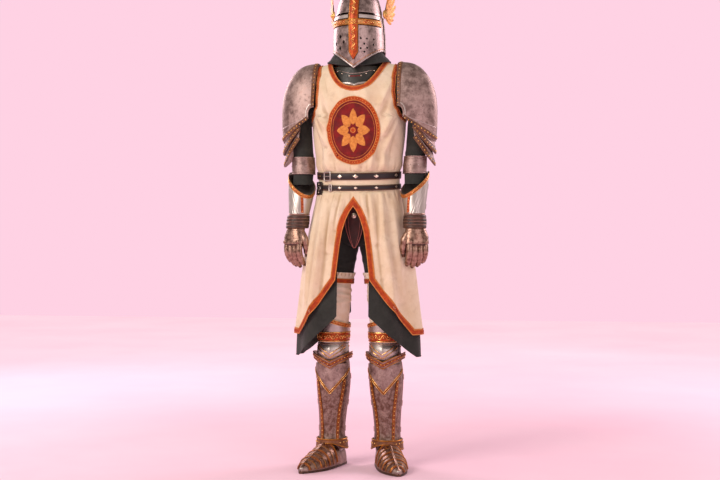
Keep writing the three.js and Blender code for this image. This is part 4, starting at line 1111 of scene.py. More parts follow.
    def cross(self) -> None:
        """The riveted cross straps: enamel with gilt rims and a raised scroll."""
        low, high = self.band
        us, vs = mesh_grid(np.radians(np.linspace(-72, 72, 81)), np.linspace(low, high, 9))
        band = wall(helm_point(us, vs), 2.3, 0.6)
        heights = np.concatenate([np.linspace(1533.5, 1560, 10), np.linspace(1564, 1818, 60),
            np.linspace(1822, 1833.5, 6)])
        half = np.interp(heights, [1533.5, 1560, 1822, 1833.5], [0.6, self.upright, self.upright, 1.0])
        across, tall = mesh_grid(np.linspace(-1, 1, 17), heights)
        upright = wall(helm_front(across * half, tall), 2.7, 0.7)
        self.put("cross_upright", upright, Finish.ENAMEL, Slot.ORNAMENT, ["helm_cross"], bevel=0.4)
        self.put("cross_band", band, Finish.BRASS, Slot.ORNAMENT, bevel=0.4)
        patches = [level(helm_point, (low + high) / 2, 12,
            side * 33.0).even(3.0).strip([(-6, 2.0), (-6, 3.1), (6, 3.1), (6, 2.0)]) for side in (-1, 1)]
        self.put("cross_patches", patches, Finish.ENAMEL, Slot.ORNAMENT)
        dark = [level(helm_point, z, 73).even(3.0).cord(1.5, 1.3, 0.4) for z in (low - 1.0, high + 1.0)]
        rims = [level(helm_point, z, 72).even(3.0).cord(2.0, 1.5, 2.7) for z in (low + 2.2, high - 2.2)]
        for side in (-1, 1):
            places = [(side * (w - 2.2), z) for w, z in zip(half[5:-3], heights[5:-3])]
            rims.append(Line(helm_front, np.array(places)).even(3.0).cord(1.6, 1.4, 3.2))
            outer = [(side * (w + 1.2), z) for w, z in zip(half[:-3], heights[:-3])]
            dark.append(Line(helm_front, np.array(outer)).even(3.0).cord(1.7, 1.5, 0.6))
            rims.append(along(helm_point, (side * 71, low + 1), (side * 71, high - 1)).even(3.0).cord(1.8,
                1.5, 2.7))
        self.put("cross_rims", rims, Finish.GILT, Slot.GILT)
        self.put("cross_outline", dark, Finish.IRON, Slot.STEEL)
        scrolls = [level(helm_point, (low + high) / 2, 23.5, side * 44.0).vine(5.2, 26.0, 1.5, 2.7)
            for side in (-1, 1)]
        for first, last in ((1566, 1656), (1700, 1812)):
            line = Line(helm_front, np.array([(0.0, float(first)), (0.0, float(last))]))
            scrolls.append(line.vine(5.0, 27.0, 1.4, 3.2))
        self.put("cross_scroll", scrolls, Finish.GOLD, Slot.GILT)
        centre = Line(helm_front, np.array([(0.0, (low + high) / 2)]))
        spot = centre.places[0]
        petals = []
        for turn in np.radians(np.arange(0, 360, 45)):
            moved = spot + np.array([math.sin(turn), math.cos(turn)]) * 7.4
            petals.append(dome(centre, moved, 3.4, 2.2, 3.0, 10))
        petals.append(dome(centre, spot, 4.6, 4.0, 3.0, 16))
        self.put("cross_rose", petals, Finish.GOLD, Slot.GILT)

    def brows(self) -> None:
        """The two bars under the sight slits, with bright upper edges."""
        for side in Side:
            us, vs = mesh_grid(np.linspace(16.4, 84.2, 44), np.linspace(self.band[1] + 0.4, self.brow, 8))
            bar = wall(helm_front(us, vs), 3.6, 0.8).on(side)
            self.put(f"brow_{side.word}", bar, Finish.BRIGHT, Slot.BRIGHT, [f"brow_bar_{side.word}"],
                bevel=0.9)
            edge = Line(helm_front, np.array([(17.4, 1686.0), (83.2, 1686.0), (83.2, 1701.2),
                (17.4, 1701.2)]), True)
            self.put(f"brow_outline_{side.word}", edge.even(3.0).cord(1.5, 1.3, 4.0).on(side), Finish.IRON,
                Slot.BRIGHT)

    def wing(self, side: Side) -> None:
        """A gilt wing: long feathers, a row of short ones over their roots, and a coiled root boss."""
        turn = math.radians(self.wing_turn)
        out = np.array([math.cos(turn), math.sin(turn), 0.0])
        face = np.array([math.sin(turn), -math.cos(turn), 0.0])
        up = np.array([0.0, 0.0, 1.0])
        origin = np.array(self.wing_root)
        blades = [Feather(angle, length, step=0.8 + 0.5 * (k % 2)).shape(origin, out, up, face)
            for k, (angle, length) in enumerate(self.feathers)]
        blades += [Feather(angle + 7, length * 0.56, 8.0, 3.2, 3.2).shape(origin, out, up, face)
            for angle, length in self.feathers[:-1]]
        blades += [Feather(angle + 2, length * 0.36, 6.5, 2.8, 5.0).shape(origin, out, up, face)
            for angle, length in self.feathers[1:]]
        self.put(f"wing_feathers_{side.word}", Shape.joined(blades).on(side), Finish.GILT, Slot.GILT,
            [f"wing_{side.word}"], sharp=30)
        root = origin + out * 4 + up * 2
        bosses = [blob(root + face * 1.0, face, 17, 8, 28), blob(root + face * 7.0, face, 9.5, 5, 24),
            blob(root + face * 10.5, face, 4.0, 4, 16)]
        ring = [blob(root + face * 3.6 + (out * math.cos(a) + up * math.sin(a)) * 13.2, face, 1.9, 3.6, 8)
            for a in np.radians(np.arange(0, 360, 30))]
        self.put(f"wing_boss_{side.word}", Shape.joined(bosses + ring).on(side), Finish.GOLD, Slot.GILT)


# ---------------------------------------------------------------- surcoat


@dataclass(frozen=True)
class Crease:
    """A soft fold on the cloth, from one place to another, in x and z; a negative height is a hollow."""

    x0: float
    z0: float
    x1: float
    z1: float
    half: float
    height: float

    def relief(self, x: np.ndarray, z: np.ndarray) -> np.ndarray:
        """Its height at each place: rounded across, and fading out at both ends."""
        run = np.array([self.x1 - self.x0, self.z1 - self.z0])
        size = float(np.dot(run, run))
        part = ((x - self.x0) * run[0] + (z - self.z0) * run[1]) / size
        near = np.clip(part, 0.0, 1.0)
        far = np.hypot(x - self.x0 - near * run[0], z - self.z0 - near * run[1])
        taper = np.sin(math.pi * np.clip(part * 0.9 + 0.05, 0.0, 1.0)) ** 0.7
        return self.height * taper * np.exp(-((far / self.half) ** 1.5))


FRONT_CREASES = rows_of(
    Crease,
    (-138, 1470, -70, 1300, 17, 14.96), (-141, 1420, -88, 1190, 14, 13.2), (-128, 1500, -96, 1395, 9, -3.6),
    (-150, 1355, -92, 1270, 13, 14.96), (-156, 1322, -104, 1215, 11, 13.2),
    (-152, 1295, -120, 1160, 10, -4.32), (136, 1460, 84, 1330, 16, 14.08), (140, 1405, 108, 1255, 13, 13.2),
    (150, 1352, 98, 1240, 13, 14.96), (158, 1318, 112, 1190, 11, 14.08), (148, 1286, 126, 1150, 10, -3.96),
    (-34, 1425, -58, 1330, 20, 9.68), (40, 1428, 62, 1340, 20, 10.56), (-6, 1436, -2, 1400, 26, -3.6),
    (-64, 1195, -40, 1118, 13, 14.08), (22, 1176, 12, 1116, 14, 13.2), (72, 1205, 58, 1118, 12, 15.84),
    (-112, 1200, -96, 1116, 12, 14.96), (108, 1188, 104, 1116, 10, 13.2), (-18, 1160, 42, 1124, 10, -3.24),
    (-112, 1036, -132, 700, 17, 20.24), (-64, 1034, -96, 820, 13, 18.48), (-36, 1034, -62, 900, 9, 13.2),
    (-140, 1000, -184, 620, 16, 19.36), (-90, 960, -136, 560, 12, -6.48), (-120, 880, -168, 540, 13, 17.6),
    (58, 1034, 84, 850, 13, 19.36), (30, 1034, 50, 930, 9, 13.2), (98, 1036, 120, 730, 16, 20.24),
    (136, 1010, 176, 640, 17, 18.48), (80, 940, 118, 640, 11, -6.48), (118, 860, 156, 560, 13, 18.48),
)
BACK_CREASES = rows_of(
    Crease,
    (-132, 1480, -60, 1290, 18, 14.96), (130, 1475, 74, 1300, 17, 14.08), (-142, 1370, -84, 1220, 14, 14.08),
    (146, 1362, 92, 1230, 14, 14.96), (-20, 1470, 10, 1260, 24, -5.04), (44, 1440, 34, 1220, 20, 11.44),
    (-50, 1200, -34, 1118, 12, 14.08), (60, 1196, 44, 1118, 12, 14.96), (4, 1190, 2, 1120, 12, 13.2),
    (-108, 1210, -92, 1116, 12, 14.08), (110, 1204, 98, 1116, 12, 14.08), (-124, 1034, -168, 560, 19, 22),
    (-80, 1034, -110, 700, 15, 20.24), (-44, 1034, -66, 880, 10, 14.96), (42, 1034, 70, 860, 11, 15.84),
    (86, 1034, 116, 690, 15, 20.24), (120, 1030, 172, 570, 19, 22), (-100, 900, -140, 540, 12, -6.84),
    (104, 900, 146, 540, 12, -6.48),
)
BELT_RISE = 11.0


def belt_rise(phi: np.ndarray) -> np.ndarray:
    """Height that a belt gains round the waist."""
    return BELT_RISE * np.minimum(1.0, 1.0 - np.cos(phi))


def coat_relief(phi: np.ndarray, way: np.ndarray) -> np.ndarray:
    """How far the worn cloth stands off its plain form, with nothing under the belts."""
    point = over_shoulder(phi, way)
    x, z = point[..., 0], point[..., 2]
    behind = way > SHOULDER_ARC
    front = sum(crease.relief(x, z) for crease in FRONT_CREASES)
    back = sum(crease.relief(x, z) for crease in BACK_CREASES)
    relief = np.where(behind, back, front) * smoothstep(np.abs(np.degrees(phi)), 89.0, 70.0)
    turned = np.where(behind, math.pi - phi, phi)
    low = z - belt_rise(turned)
    pleats = 0.6 * np.sin(31 * turned + 0.7) + 0.4 * np.sin(47 * turned + 2.0 + 0.8 * np.sin(5 * turned))
    gathered = np.exp(-(((low - 1122) / 26) ** 2)) + np.exp(-(((low - 1026) / 34) ** 2))
    relief = relief + pleats * gathered * 1.9
    relief = relief + 4.2 * np.exp(-(((low - 1138) / 20) ** 2)) + 1.6 * np.exp(-(((low - 1018) / 22) ** 2))
    clear = smoothstep(np.abs(low - 1076.5), 35.0, 46.0)
    return relief * clear - 0.5 * (1.0 - clear)


def coat_point(phi: np.ndarray, way: np.ndarray) -> np.ndarray:
    """The worn surcoat's outer face, over the shoulder."""
    step = 0.004
    east = over_shoulder(phi + step, way) - over_shoulder(phi - step, way)
    north = over_shoulder(phi, way + 1.0) - over_shoulder(phi, way - 1.0)
    return over_shoulder(phi, way) + unit(np.cross(east, north)) * coat_relief(phi, way)[..., None]


@dataclass
class Surcoat:
    """The cream surcoat: front and back panels, sewn at the sides and shoulders, with braided edges."""

    thick: float = 2.0
    neck_half: float = 112.0
    neck_low: tuple[float, float] = (1424.0, 1500.0)
    neck_braid: float = 19.0
    armhole_braid: float = 17.0
    hem_braid: float = 23.0
    split_top: float = 984.0
    split: Table = field(default_factory=lambda: table("z half", (505, 215), (711, 64), (779, 56),
        (836, 49), (893, 40), (935, 27), (966, 13), (984, 0)))
    armhole: tuple[tuple[float, float], ...] = ((184, 1320), (168, 1332), (153, 1362), (147, 1400),
        (147, 1440), (150, 1480), (158, 1522), (158, 1570))
    badge_middle: float = 1268.0
    badge_half: tuple[float, float] = (98.0, 128.0)

    def neck_height(self, x: float, behind: bool) -> float:
        """The neckline's height at an x."""
        low = self.neck_low[behind]
        high = RIDGE - RIDGE_FALL * self.neck_half + 4.0
        return low + (high - low) * abs(x / self.neck_half) ** 2.6

    def split_half(self, z: float) -> float:
        """Half the width of the skirt's split at a height."""
        return float(np.interp(z, [row["z"] for row in self.split], [row["half"] for row in self.split]))

    def height_at(self, x: float, h: float) -> float:
        """The plain cloth's height at an x and a way up."""
        if h <= 0:
            return CHEST_TOP + h
        return CHEST_TOP + (RIDGE - RIDGE_FALL * abs(x)
            - CHEST_TOP) * math.sin(h / SHOULDER_ARC * math.pi / 2)

    def row_ends(self, h: float, behind: bool, sign: int) -> tuple[float, float]:
        """The angles where a row of the cloth starts and ends on one side."""
        z = CHEST_TOP + h
        inner, outer = 0.0, math.radians(89.9) * sign
        if z < self.split_top:
            inner = place_on_body(sign * (self.split_half(z) + 1.5), z, behind)[0]
        if self.height_at(0.0, h) > self.neck_low[behind]:
            low, high = 0.0, self.neck_half
            for _ in range(30):
                x = (low + high) / 2
                if self.height_at(x, h) > self.neck_height(x, behind):
                    low = x
                else:
                    high = x
            inner = math.asin((low + 0.5) / float(read(BODY, "wide", np.array(CHEST_TOP)))) * sign
        if z > 1321.0:
            x = 160.0
            xs, zs = [row[0] for row in self.armhole], [row[1] for row in self.armhole]
            for _ in range(12):
                x = float(np.interp(self.height_at(x, h), zs, xs)) - 1.5
            outer = math.asin(min(0.999, x / float(read(BODY, "wide", np.array(min(z, CHEST_TOP)))))) * sign
        return inner, outer

    def panel(self, behind: bool) -> bpy.types.Object:
        """One panel as a wall of cloth."""
        heights = np.concatenate([np.linspace(HEM, self.split_top, 84, endpoint=False),
            np.linspace(self.split_top, 1134, 44, endpoint=False),
            np.linspace(1134, CHEST_TOP, 40, endpoint=False)]) - CHEST_TOP
        start = self.neck_low[behind] - CHEST_TOP
        turn = math.asin(start / (RIDGE - CHEST_TOP)) / (math.pi / 2) * SHOULDER_ARC
        near = turn + np.array([0.0, 0.15, 0.6, 1.4, 2.6, 4.2])
        heights = np.concatenate([heights, np.linspace(0, turn, 18 if not behind else 24, endpoint=False),
            near, np.linspace(near[-1] + 3, SHOULDER_ARC * 0.995, 34)])
        halves = []
        for sign in (-1, 1):
            ends = np.array([self.row_ends(float(h), behind, sign) for h in heights])
            share = np.linspace(0, 1, 56)[:, None]
            phi = ends[None, :, 0] + (ends[None, :, 1] - ends[None, :, 0]) * share
            way = np.broadcast_to(2 * SHOULDER_ARC - heights if behind else heights, phi.shape)
            skin = sheet(coat_point(phi, way))
            radius = read(BODY, "wide", np.minimum(CHEST_TOP + heights, CHEST_TOP)) * 0.9
            across, tall = phi * radius * MM, np.broadcast_to(heights * MM, phi.shape)
            flat = np.stack([across, tall], axis=-1).reshape(-1, 2)
            skin.along = [[tuple(flat[corner]) for corner in face] for face in skin.faces]
            halves.append(skin)
        name = "surcoat_back_cloth" if behind else "surcoat_front_cloth"
        cloth = place(name, halves, Finish.CREAM, sharp=180)
        face_out(cloth, behind)
        applied(cloth, "SOLIDIFY", thickness=self.thick * MM, offset=-1.0, use_even_offset=False)
        own(cloth, Body.SUIT, Slot.CREAM, ["surcoat_back" if behind else "surcoat_front"])
        return cloth

    def neck_line(self) -> Line:
        """The neckline as one closed line, over both shoulders."""
        places = []
        for behind in (False, True):
            xs = np.linspace(-0.972, 0.972, 41) * self.neck_half * (-1 if behind else 1)
            places += [place_on_body(x, self.neck_height(x, behind), behind) for x in xs]
            edge = math.asin(111.0 / 182.0) * (-1 if behind else 1)
            places.append((edge, SHOULDER_ARC))
        return Line(coat_point, np.array(places), True).even(5.0)

    def armhole_line(self, sign: int) -> Line:
        """One armhole as a closed line, under the arm and over the shoulder."""
        xs = [row[0] for row in self.armhole]
        zs = [row[1] for row in self.armhole]
        steps = np.concatenate([np.linspace(1324.5, 1400, 16), np.linspace(1410, 1518, 14)])
        front = [place_on_body(float(np.interp(z, zs, xs)), float(z)) for z in steps]
        back = [(phi, 2 * SHOULDER_ARC - h) for phi, h in front]
        ridge = [(math.asin(158.0 / 182.0), SHOULDER_ARC)]
        under = [(math.radians(89.0), -56.5)]
        far_under = [(math.radians(89.0), 2 * SHOULDER_ARC + 56.5)]
        places = np.array(under + front + ridge + back[::-1] + far_under)
        if sign < 0:
            places[:, 0] *= -1
            places = places[::-1]
        return Line(coat_point, places, False).even(5.0)

    def hem_line(self, behind: bool) -> Line:
        """The hem and split as one line, from one side seam round the arch to the other."""
        half = [(row["half"], row["z"]) for row in self.split]
        fine = []
        for (x0, z0), (x1, z1) in zip(half[:-1], half[1:]):
            count = 26 if z0 < 600 else 5
            fine += [(x0 + (x1 - x0) * k / count, z0 + (z1 - z0) * k / count) for k in range(count)]
        right = [(-x, z) for x, z in fine]
        path = right + [(0.0, self.split_top)] + [(x, z) for x, z in fine[::-1]]
        places = [place_on_body(x, z, behind) for x, z in path]
        seam = math.radians(89.6)
        low = HEM - CHEST_TOP
        low = 2 * SHOULDER_ARC - low if behind else low
        places = [(-seam, low), *places, (seam, low)]
        if behind:
            places = places[::-1]
        apex = len(places) // 2
        first, last = (Line(coat_point, np.array(part)).even(5.0).places
            for part in (places[: apex + 1], places[apex:]))
        return Line(coat_point, np.concatenate([first, last[1:]]))

    def braid(self, name: str, line: Line, near: float, far: float, replaces: str) -> list[bpy.types.Object]:
        """A woven braid between two distances left of a line: ground, gold edges and a plait."""
        ground = line.strip([(near, -0.6), (near, 1.3), (near + 1.2, 2.0), (far - 1.2, 2.0), (far, 1.3),
            (far, -0.6)])
        made = [place(f"{name}_ground", ground, Finish.BRAID, Slot.BRAID, [replaces])]
        edges = [line.moved(at).cord(1.5, 1.5, 1.6) for at in (near + 1.6, far - 1.6)]
        edges.append(line.moved(far - 5.0).cord(0.8, 0.9, 1.7))
        made.append(place(f"{name}_edges", edges, Finish.THREAD, Slot.BRAID))
        middle = line.moved((near + far) / 2)
        count = len(middle.places)
        turns = max(2, round(count * 5.0 / 15.0))
        phase = np.linspace(0, turns * 2 * math.pi, count * 3)
        fine = middle.even(middle.length() / (count * 3 - 1))
        size = min(len(phase), len(fine.places))
        swing = (far - near) * 0.2
        strands = []
        for shift in (0.0, math.pi):
            swung = Line(coat_point, fine.places[:size],
                fine.closed).moved(swing * np.sin(phase[:size] + shift))
            strands.append(swung.cord(1.25, 1.2, 1.75))
        made.append(place(f"{name}_plait", strands, Finish.BRAID, Slot.BRAID))
        return made

    def badge(self) -> list[bpy.types.Object]:
        """The oval patch on the chest: red felt, a braided border and a gold rosette of eight petals."""
        half_x, half_z = self.badge_half
        turns = np.radians(np.arange(0, 360, 4.0))[::-1]

        def oval(scale: float) -> Line:
            """The badge's outline at a share of its size."""
            places = [place_on_body(half_x * scale * math.sin(t),
                self.badge_middle + half_z * scale * math.cos(t)) for t in turns]
            return Line(coat_point, np.array(places), True)

        rings = [oval(scale).places for scale in np.linspace(0.02, 0.97, 22)]
        grid = np.array(rings).transpose(1, 0, 2)
        patch = wall(coat_point(grid[..., 0], grid[..., 1])[:, ::-1], 1.2, 0.4, True)
        made = [place("badge_felt", patch, Finish.RED, Slot.RED, ["badge"])]
        border = oval(0.93)
        ground = border.strip(flat_band(6.5, 2.2, 2.8))
        made.append(place("badge_border", ground, Finish.BRAID, Slot.BRAID))
        edges = [oval(scale).cord(1.3, 1.4, 2.3) for scale in (0.875, 0.985)]
        edges.append(oval(0.80).cord(0.8, 0.9, 1.4))
        made.append(place("badge_threads", edges, Finish.THREAD, Slot.BRAID))
        beads = border.studs(11.5, 2.3, 1.7, 2.6, 8)
        made.append(place("badge_beads", beads, Finish.THREAD, Slot.BRAID))
        petals = [self.petal(turn, 16.0, 62.0, 13.5) for turn in range(0, 360, 45)]
        petals += [self.petal(turn + 22.5, 26.0, 40.0, 6.0) for turn in range(0, 360, 45)]
        made.append(place("badge_petals", petals, Finish.THREAD, Slot.BRAID))
        centre = Line(coat_point, np.array([place_on_body(0.0, self.badge_middle)]))
        hub = [dome(centre, centre.places[0], 12.0, 3.0, 1.6, 28)]
        made.append(place("badge_hub", hub, Finish.BRAID, Slot.BRAID))
        ring = [place_on_body(8.0 * math.sin(t), self.badge_middle + 8.0 * math.cos(t)) for t in turns[::4]]
        knots = [dome(centre, np.array(spot), 1.7, 1.4, 4.0, 8) for spot in ring]
        made.append(place("badge_knots", knots, Finish.THREAD, Slot.BRAID))
        return made

    def petal(self, turn: float, near: float, far: float, half: float) -> Shape:
        """One padded petal, pointed at both ends, with a groove down its middle."""
        way = math.radians(turn)
        stretch = self.badge_half[1] / self.badge_half[0]
        rows = []
        for part in np.linspace(0.0, 1.0, 15):
            out = near + (far - near) * part
            wide = half * math.sin(math.pi * part ** 0.8) ** 0.75 + 0.2
            row = []
            for across in np.linspace(-1.0, 1.0, 9):
                x = out * math.sin(way) + across * wide * math.cos(way)
                z = (out * math.cos(way) - across * wide * math.sin(way)) * stretch
                row.append(place_on_body(x, self.badge_middle + z))
            rows.append(row)
        places = np.array(rows).transpose(1, 0, 2)
        groove = 0.9 * np.exp(-((np.linspace(-1, 1, 9) / 0.16) ** 2))
        puff = 1.1 + 1.5 * np.sin(np.linspace(0, math.pi, 9)) ** 0.7 - groove
        grid = coat_point(places[..., 0], places[..., 1])
        return wall(grid, 0.6, np.broadcast_to(puff[:, None], grid.shape[:2]))

    def build(self) -> None:
        """Make both panels with their trims, and log each panel's area as a sheet."""
        trims: dict[bool, list[bpy.types.Object]] = {False: [], True: []}
        neck = self.braid("neck_braid", self.neck_line(), -8.0, 11.0, "neck_braid")
        trims[False] += neck
        for sign, word in ((1, "left"), (-1, "right")):
            name = f"armhole_braid_{word}"
            trims[False] += self.braid(name, self.armhole_line(sign), 0.0, self.armhole_braid, name)
        for behind, word in ((False, "front"), (True, "back")):
            name = f"hem_braid_{word}"
            trims[behind] += self.braid(name, self.hem_line(behind), 0.0, self.hem_braid, name)
        trims[False] += self.badge()
        for behind in (False, True):
            cloth = self.panel(behind)
            state_sheet(cloth, (0.62, 1.07), 0.41)


def face_out(thing: bpy.types.Object, behind: bool) -> None:
    """Turn an open skin's faces away from the wearer."""
    mesh = thing.data
    mesh.update()
    total = sum(polygon.normal.y * polygon.area for polygon in mesh.polygons)
    if (total > 0) != behind:
        mesh.flip_normals()


def state_sheet(thing: bpy.types.Object, flat: tuple[float, float], area: float | None = None) -> None:
    """Log a piece's area as one sheet of cloth, beside the flat one."""
    half = sum(polygon.area for polygon in thing.data.polygons) / 2
    log.info("sheet %s: area %.3f, flat %.3f", thing.name, half, area or flat[0] * flat[1])


# ---------------------------------------------------------------- neck, belts and lower cloth


@dataclass(frozen=True)
class Fold:
    """A fold that runs part of the way round a limb.

    The angle is where its middle is, in degrees, and the slope is how far it climbs on the way round.
    """

    angle: float
    z: float
    span: float
    half: float
    slope: float
    height: float

    def relief(self, angle: np.ndarray, z: np.ndarray) -> np.ndarray:
        """Its height at each angle and height of the limb."""
        away = np.degrees(angle) - self.angle
        away = (away + 180.0) % 360.0 - 180.0
        across = (z - self.z - self.slope * np.sin(np.radians(away))) / self.half
        return self.height * np.exp(-(across ** 2)) * np.exp(-((away / self.span) ** 2))


def rumpled(surface: Surface, folds: Sequence[Fold], step: float = 0.5) -> Surface:
    """A limb's surface with folds in its cloth; its slope is read over a step of its second direction."""

    def worn(angle: np.ndarray, z: np.ndarray) -> np.ndarray:
        """The creased point at an angle and a height."""
        east = surface(angle + 0.01, z) - surface(angle - 0.01, z)
        north = surface(angle, z + step) - surface(angle, z - step)
        relief = sum(fold.relief(angle, z) for fold in folds)
        return surface(angle, z) + unit(np.cross(east, north)) * relief[..., None]

    return worn


def ring_wall(surface: Surface, heights: np.ndarray, thick: float, lift: float, sides: int = 96) -> Shape:
    """A closed wall all the way round a limb."""
    us, vs = mesh_grid(ring_angles(sides), heights)
    return wall(surface(us, vs), thick, lift, True)


@dataclass
class Neck:
    """What shows between the helm and the surcoat: a dark wool coif and a riveted leather gorget."""

    coif_low: float = 1511.0
    coif_rise: float = 25.0
    coif_high: float = 1602.0

    def coif_point(self, phi: np.ndarray, part: np.ndarray) -> np.ndarray:
        """The coif's outer face, by share of the way up."""
        rows = table("part wide front back", (0, 122, 104, 104), (0.4, 99, 99, 98), (0.72, 82, 92, 90),
            (1, 76, 86, 86))
        low = self.coif_low + self.coif_rise * np.sin(phi) ** 2
        deep = two_sided(rows, phi, part, "part")
        wide = read(rows, "wide", part, "part")
        ripple = 1.6 * (1.0 - part) * np.sin(11 * phi + 0.8) + 1.0 * np.sin(part * 19 + 2.2 * np.sin(phi * 3))
        return stack((wide + ripple) * np.sin(phi), -(deep + ripple) * np.cos(phi),
            low + (self.coif_high - low) * part)

    def gorget_point(self, phi: np.ndarray, part: np.ndarray) -> np.ndarray:
        """The gorget's outer face, by share of the way up."""
        front, back = np.maximum(0.0, np.cos(phi)), np.maximum(0.0, -np.cos(phi))
        low = 1502.0 - 82.0 * front ** 1.5 - 12.0 * back
        wide = 107.0 - 11.0 * part
        deep = np.where(np.cos(phi) > 0, 108.0 - 17.0 * part, 80.0 - 9.0 * part)
        return stack(wide * np.sin(phi), -deep * np.cos(phi), low + (1514.0 - low) * part)

    def build(self) -> None:
        """Make the coif and the gorget with its lines, rivets and bright lower edge."""
        us, vs = mesh_grid(ring_angles(132), np.linspace(0, 1, 34))
        coif = place("coif_cloth", wall(self.coif_point(us, vs), 1.8, -2.0, True), Finish.DARK, Slot.DARK,
            ["coif"], sharp=80)
        hem = level(self.coif_point, 0.03).cord(1.8, 1.8, 0.0)
        trim = place("coif_hem", hem, Finish.DARK, Slot.DARK)
        state_sheet(coif, (0.63, 0.10), None)
        us, vs = mesh_grid(ring_angles(132), np.linspace(0, 1, 18))
        place("gorget_leather", wall(self.gorget_point(us, vs), 3.0, -3.0, True), Finish.OLIVE,
            Slot.LEATHER, ["gorget"], bevel=0.6)
        surface = self.gorget_point
        angles = np.linspace(-66, 66, 45)
        shares = np.interp(np.abs(angles), [0, 8, 20, 32, 45, 66], [0.21, 0.27, 0.25, 0.16, 0.08, 0.05])
        point_edge = along(surface, *zip(angles, shares)).even(4.0)
        place("gorget_band", point_edge.moved(-7.5).strip([(-4, -0.3), (-4, 1.2), (4, 1.2), (4, -0.3)]),
            Finish.LEATHER, Slot.LEATHER)
        place("gorget_edge", point_edge.strip([(-3.2, -0.4), (-3.2, 0.8), (0, 1.9), (3.2, 0.8),
            (3.2, -0.4)]), Finish.BRIGHT, Slot.LEATHER)
        pale = along(surface, *[(a, 0.9 - 0.22 * math.cos(math.radians(a * 1.3))) for a in angles]).even(4.0)
        place("gorget_line", pale.cord(0.8, 0.9, 0.0), Finish.STUD, Slot.LEATHER)
        red = along(surface, *[(a, 0.57) for a in np.linspace(-10, 12, 12)]).even(4.0)
        place("gorget_red_line", red.cord(2.2, 1.1, 0.0), Finish.RED, Slot.LEATHER)
        sides = [along(surface, *[(a, 0.62) for a in np.linspace(first, last, 10)]).even(4.0)
            for first, last in ((46, 62), (-62, -46))]
        place("gorget_side_lines", [line.cord(1.6, 0.9, 0.0) for line in sides], Finish.RED, Slot.LEATHER)
        rivets = [dome(red, np.array([math.radians(a), part]), 3.0, 2.4, 0.2, 14)
            for a, part in ((-12, 0.57), (14, 0.57), (25, 0.63), (-30, 0.63), (45, 0.7), (-45, 0.7),
            (64, 0.6), (-64, 0.6), (110, 0.5), (-110, 0.5), (150, 0.5), (-150, 0.5))]
        place("gorget_rivets", rivets, Finish.STUD, Slot.LEATHER)


def lozenge(line: Line, spot: np.ndarray, half: float, tall: float, height: float, lift: float) -> Shape:
    """A faceted stud in the shape of a lozenge, lying along a line's surface."""
    slope_u, _ = line.slopes(spot)
    up, first = line.normals(spot), unit(slope_u)
    second = np.cross(up, first)
    rings = []
    for scale, rise in ((1.0, -0.6), (1.0, 0.4), (0.72, 0.75), (0.12, 1.0)):
        corners = ((half, 0), (0, tall), (-half, 0), (0, -tall))
        rings.append([line.point(spot) + first * a * scale + second * b * scale
            + up * (lift + height * rise) for a, b in corners])
    return tube(np.array(rings))


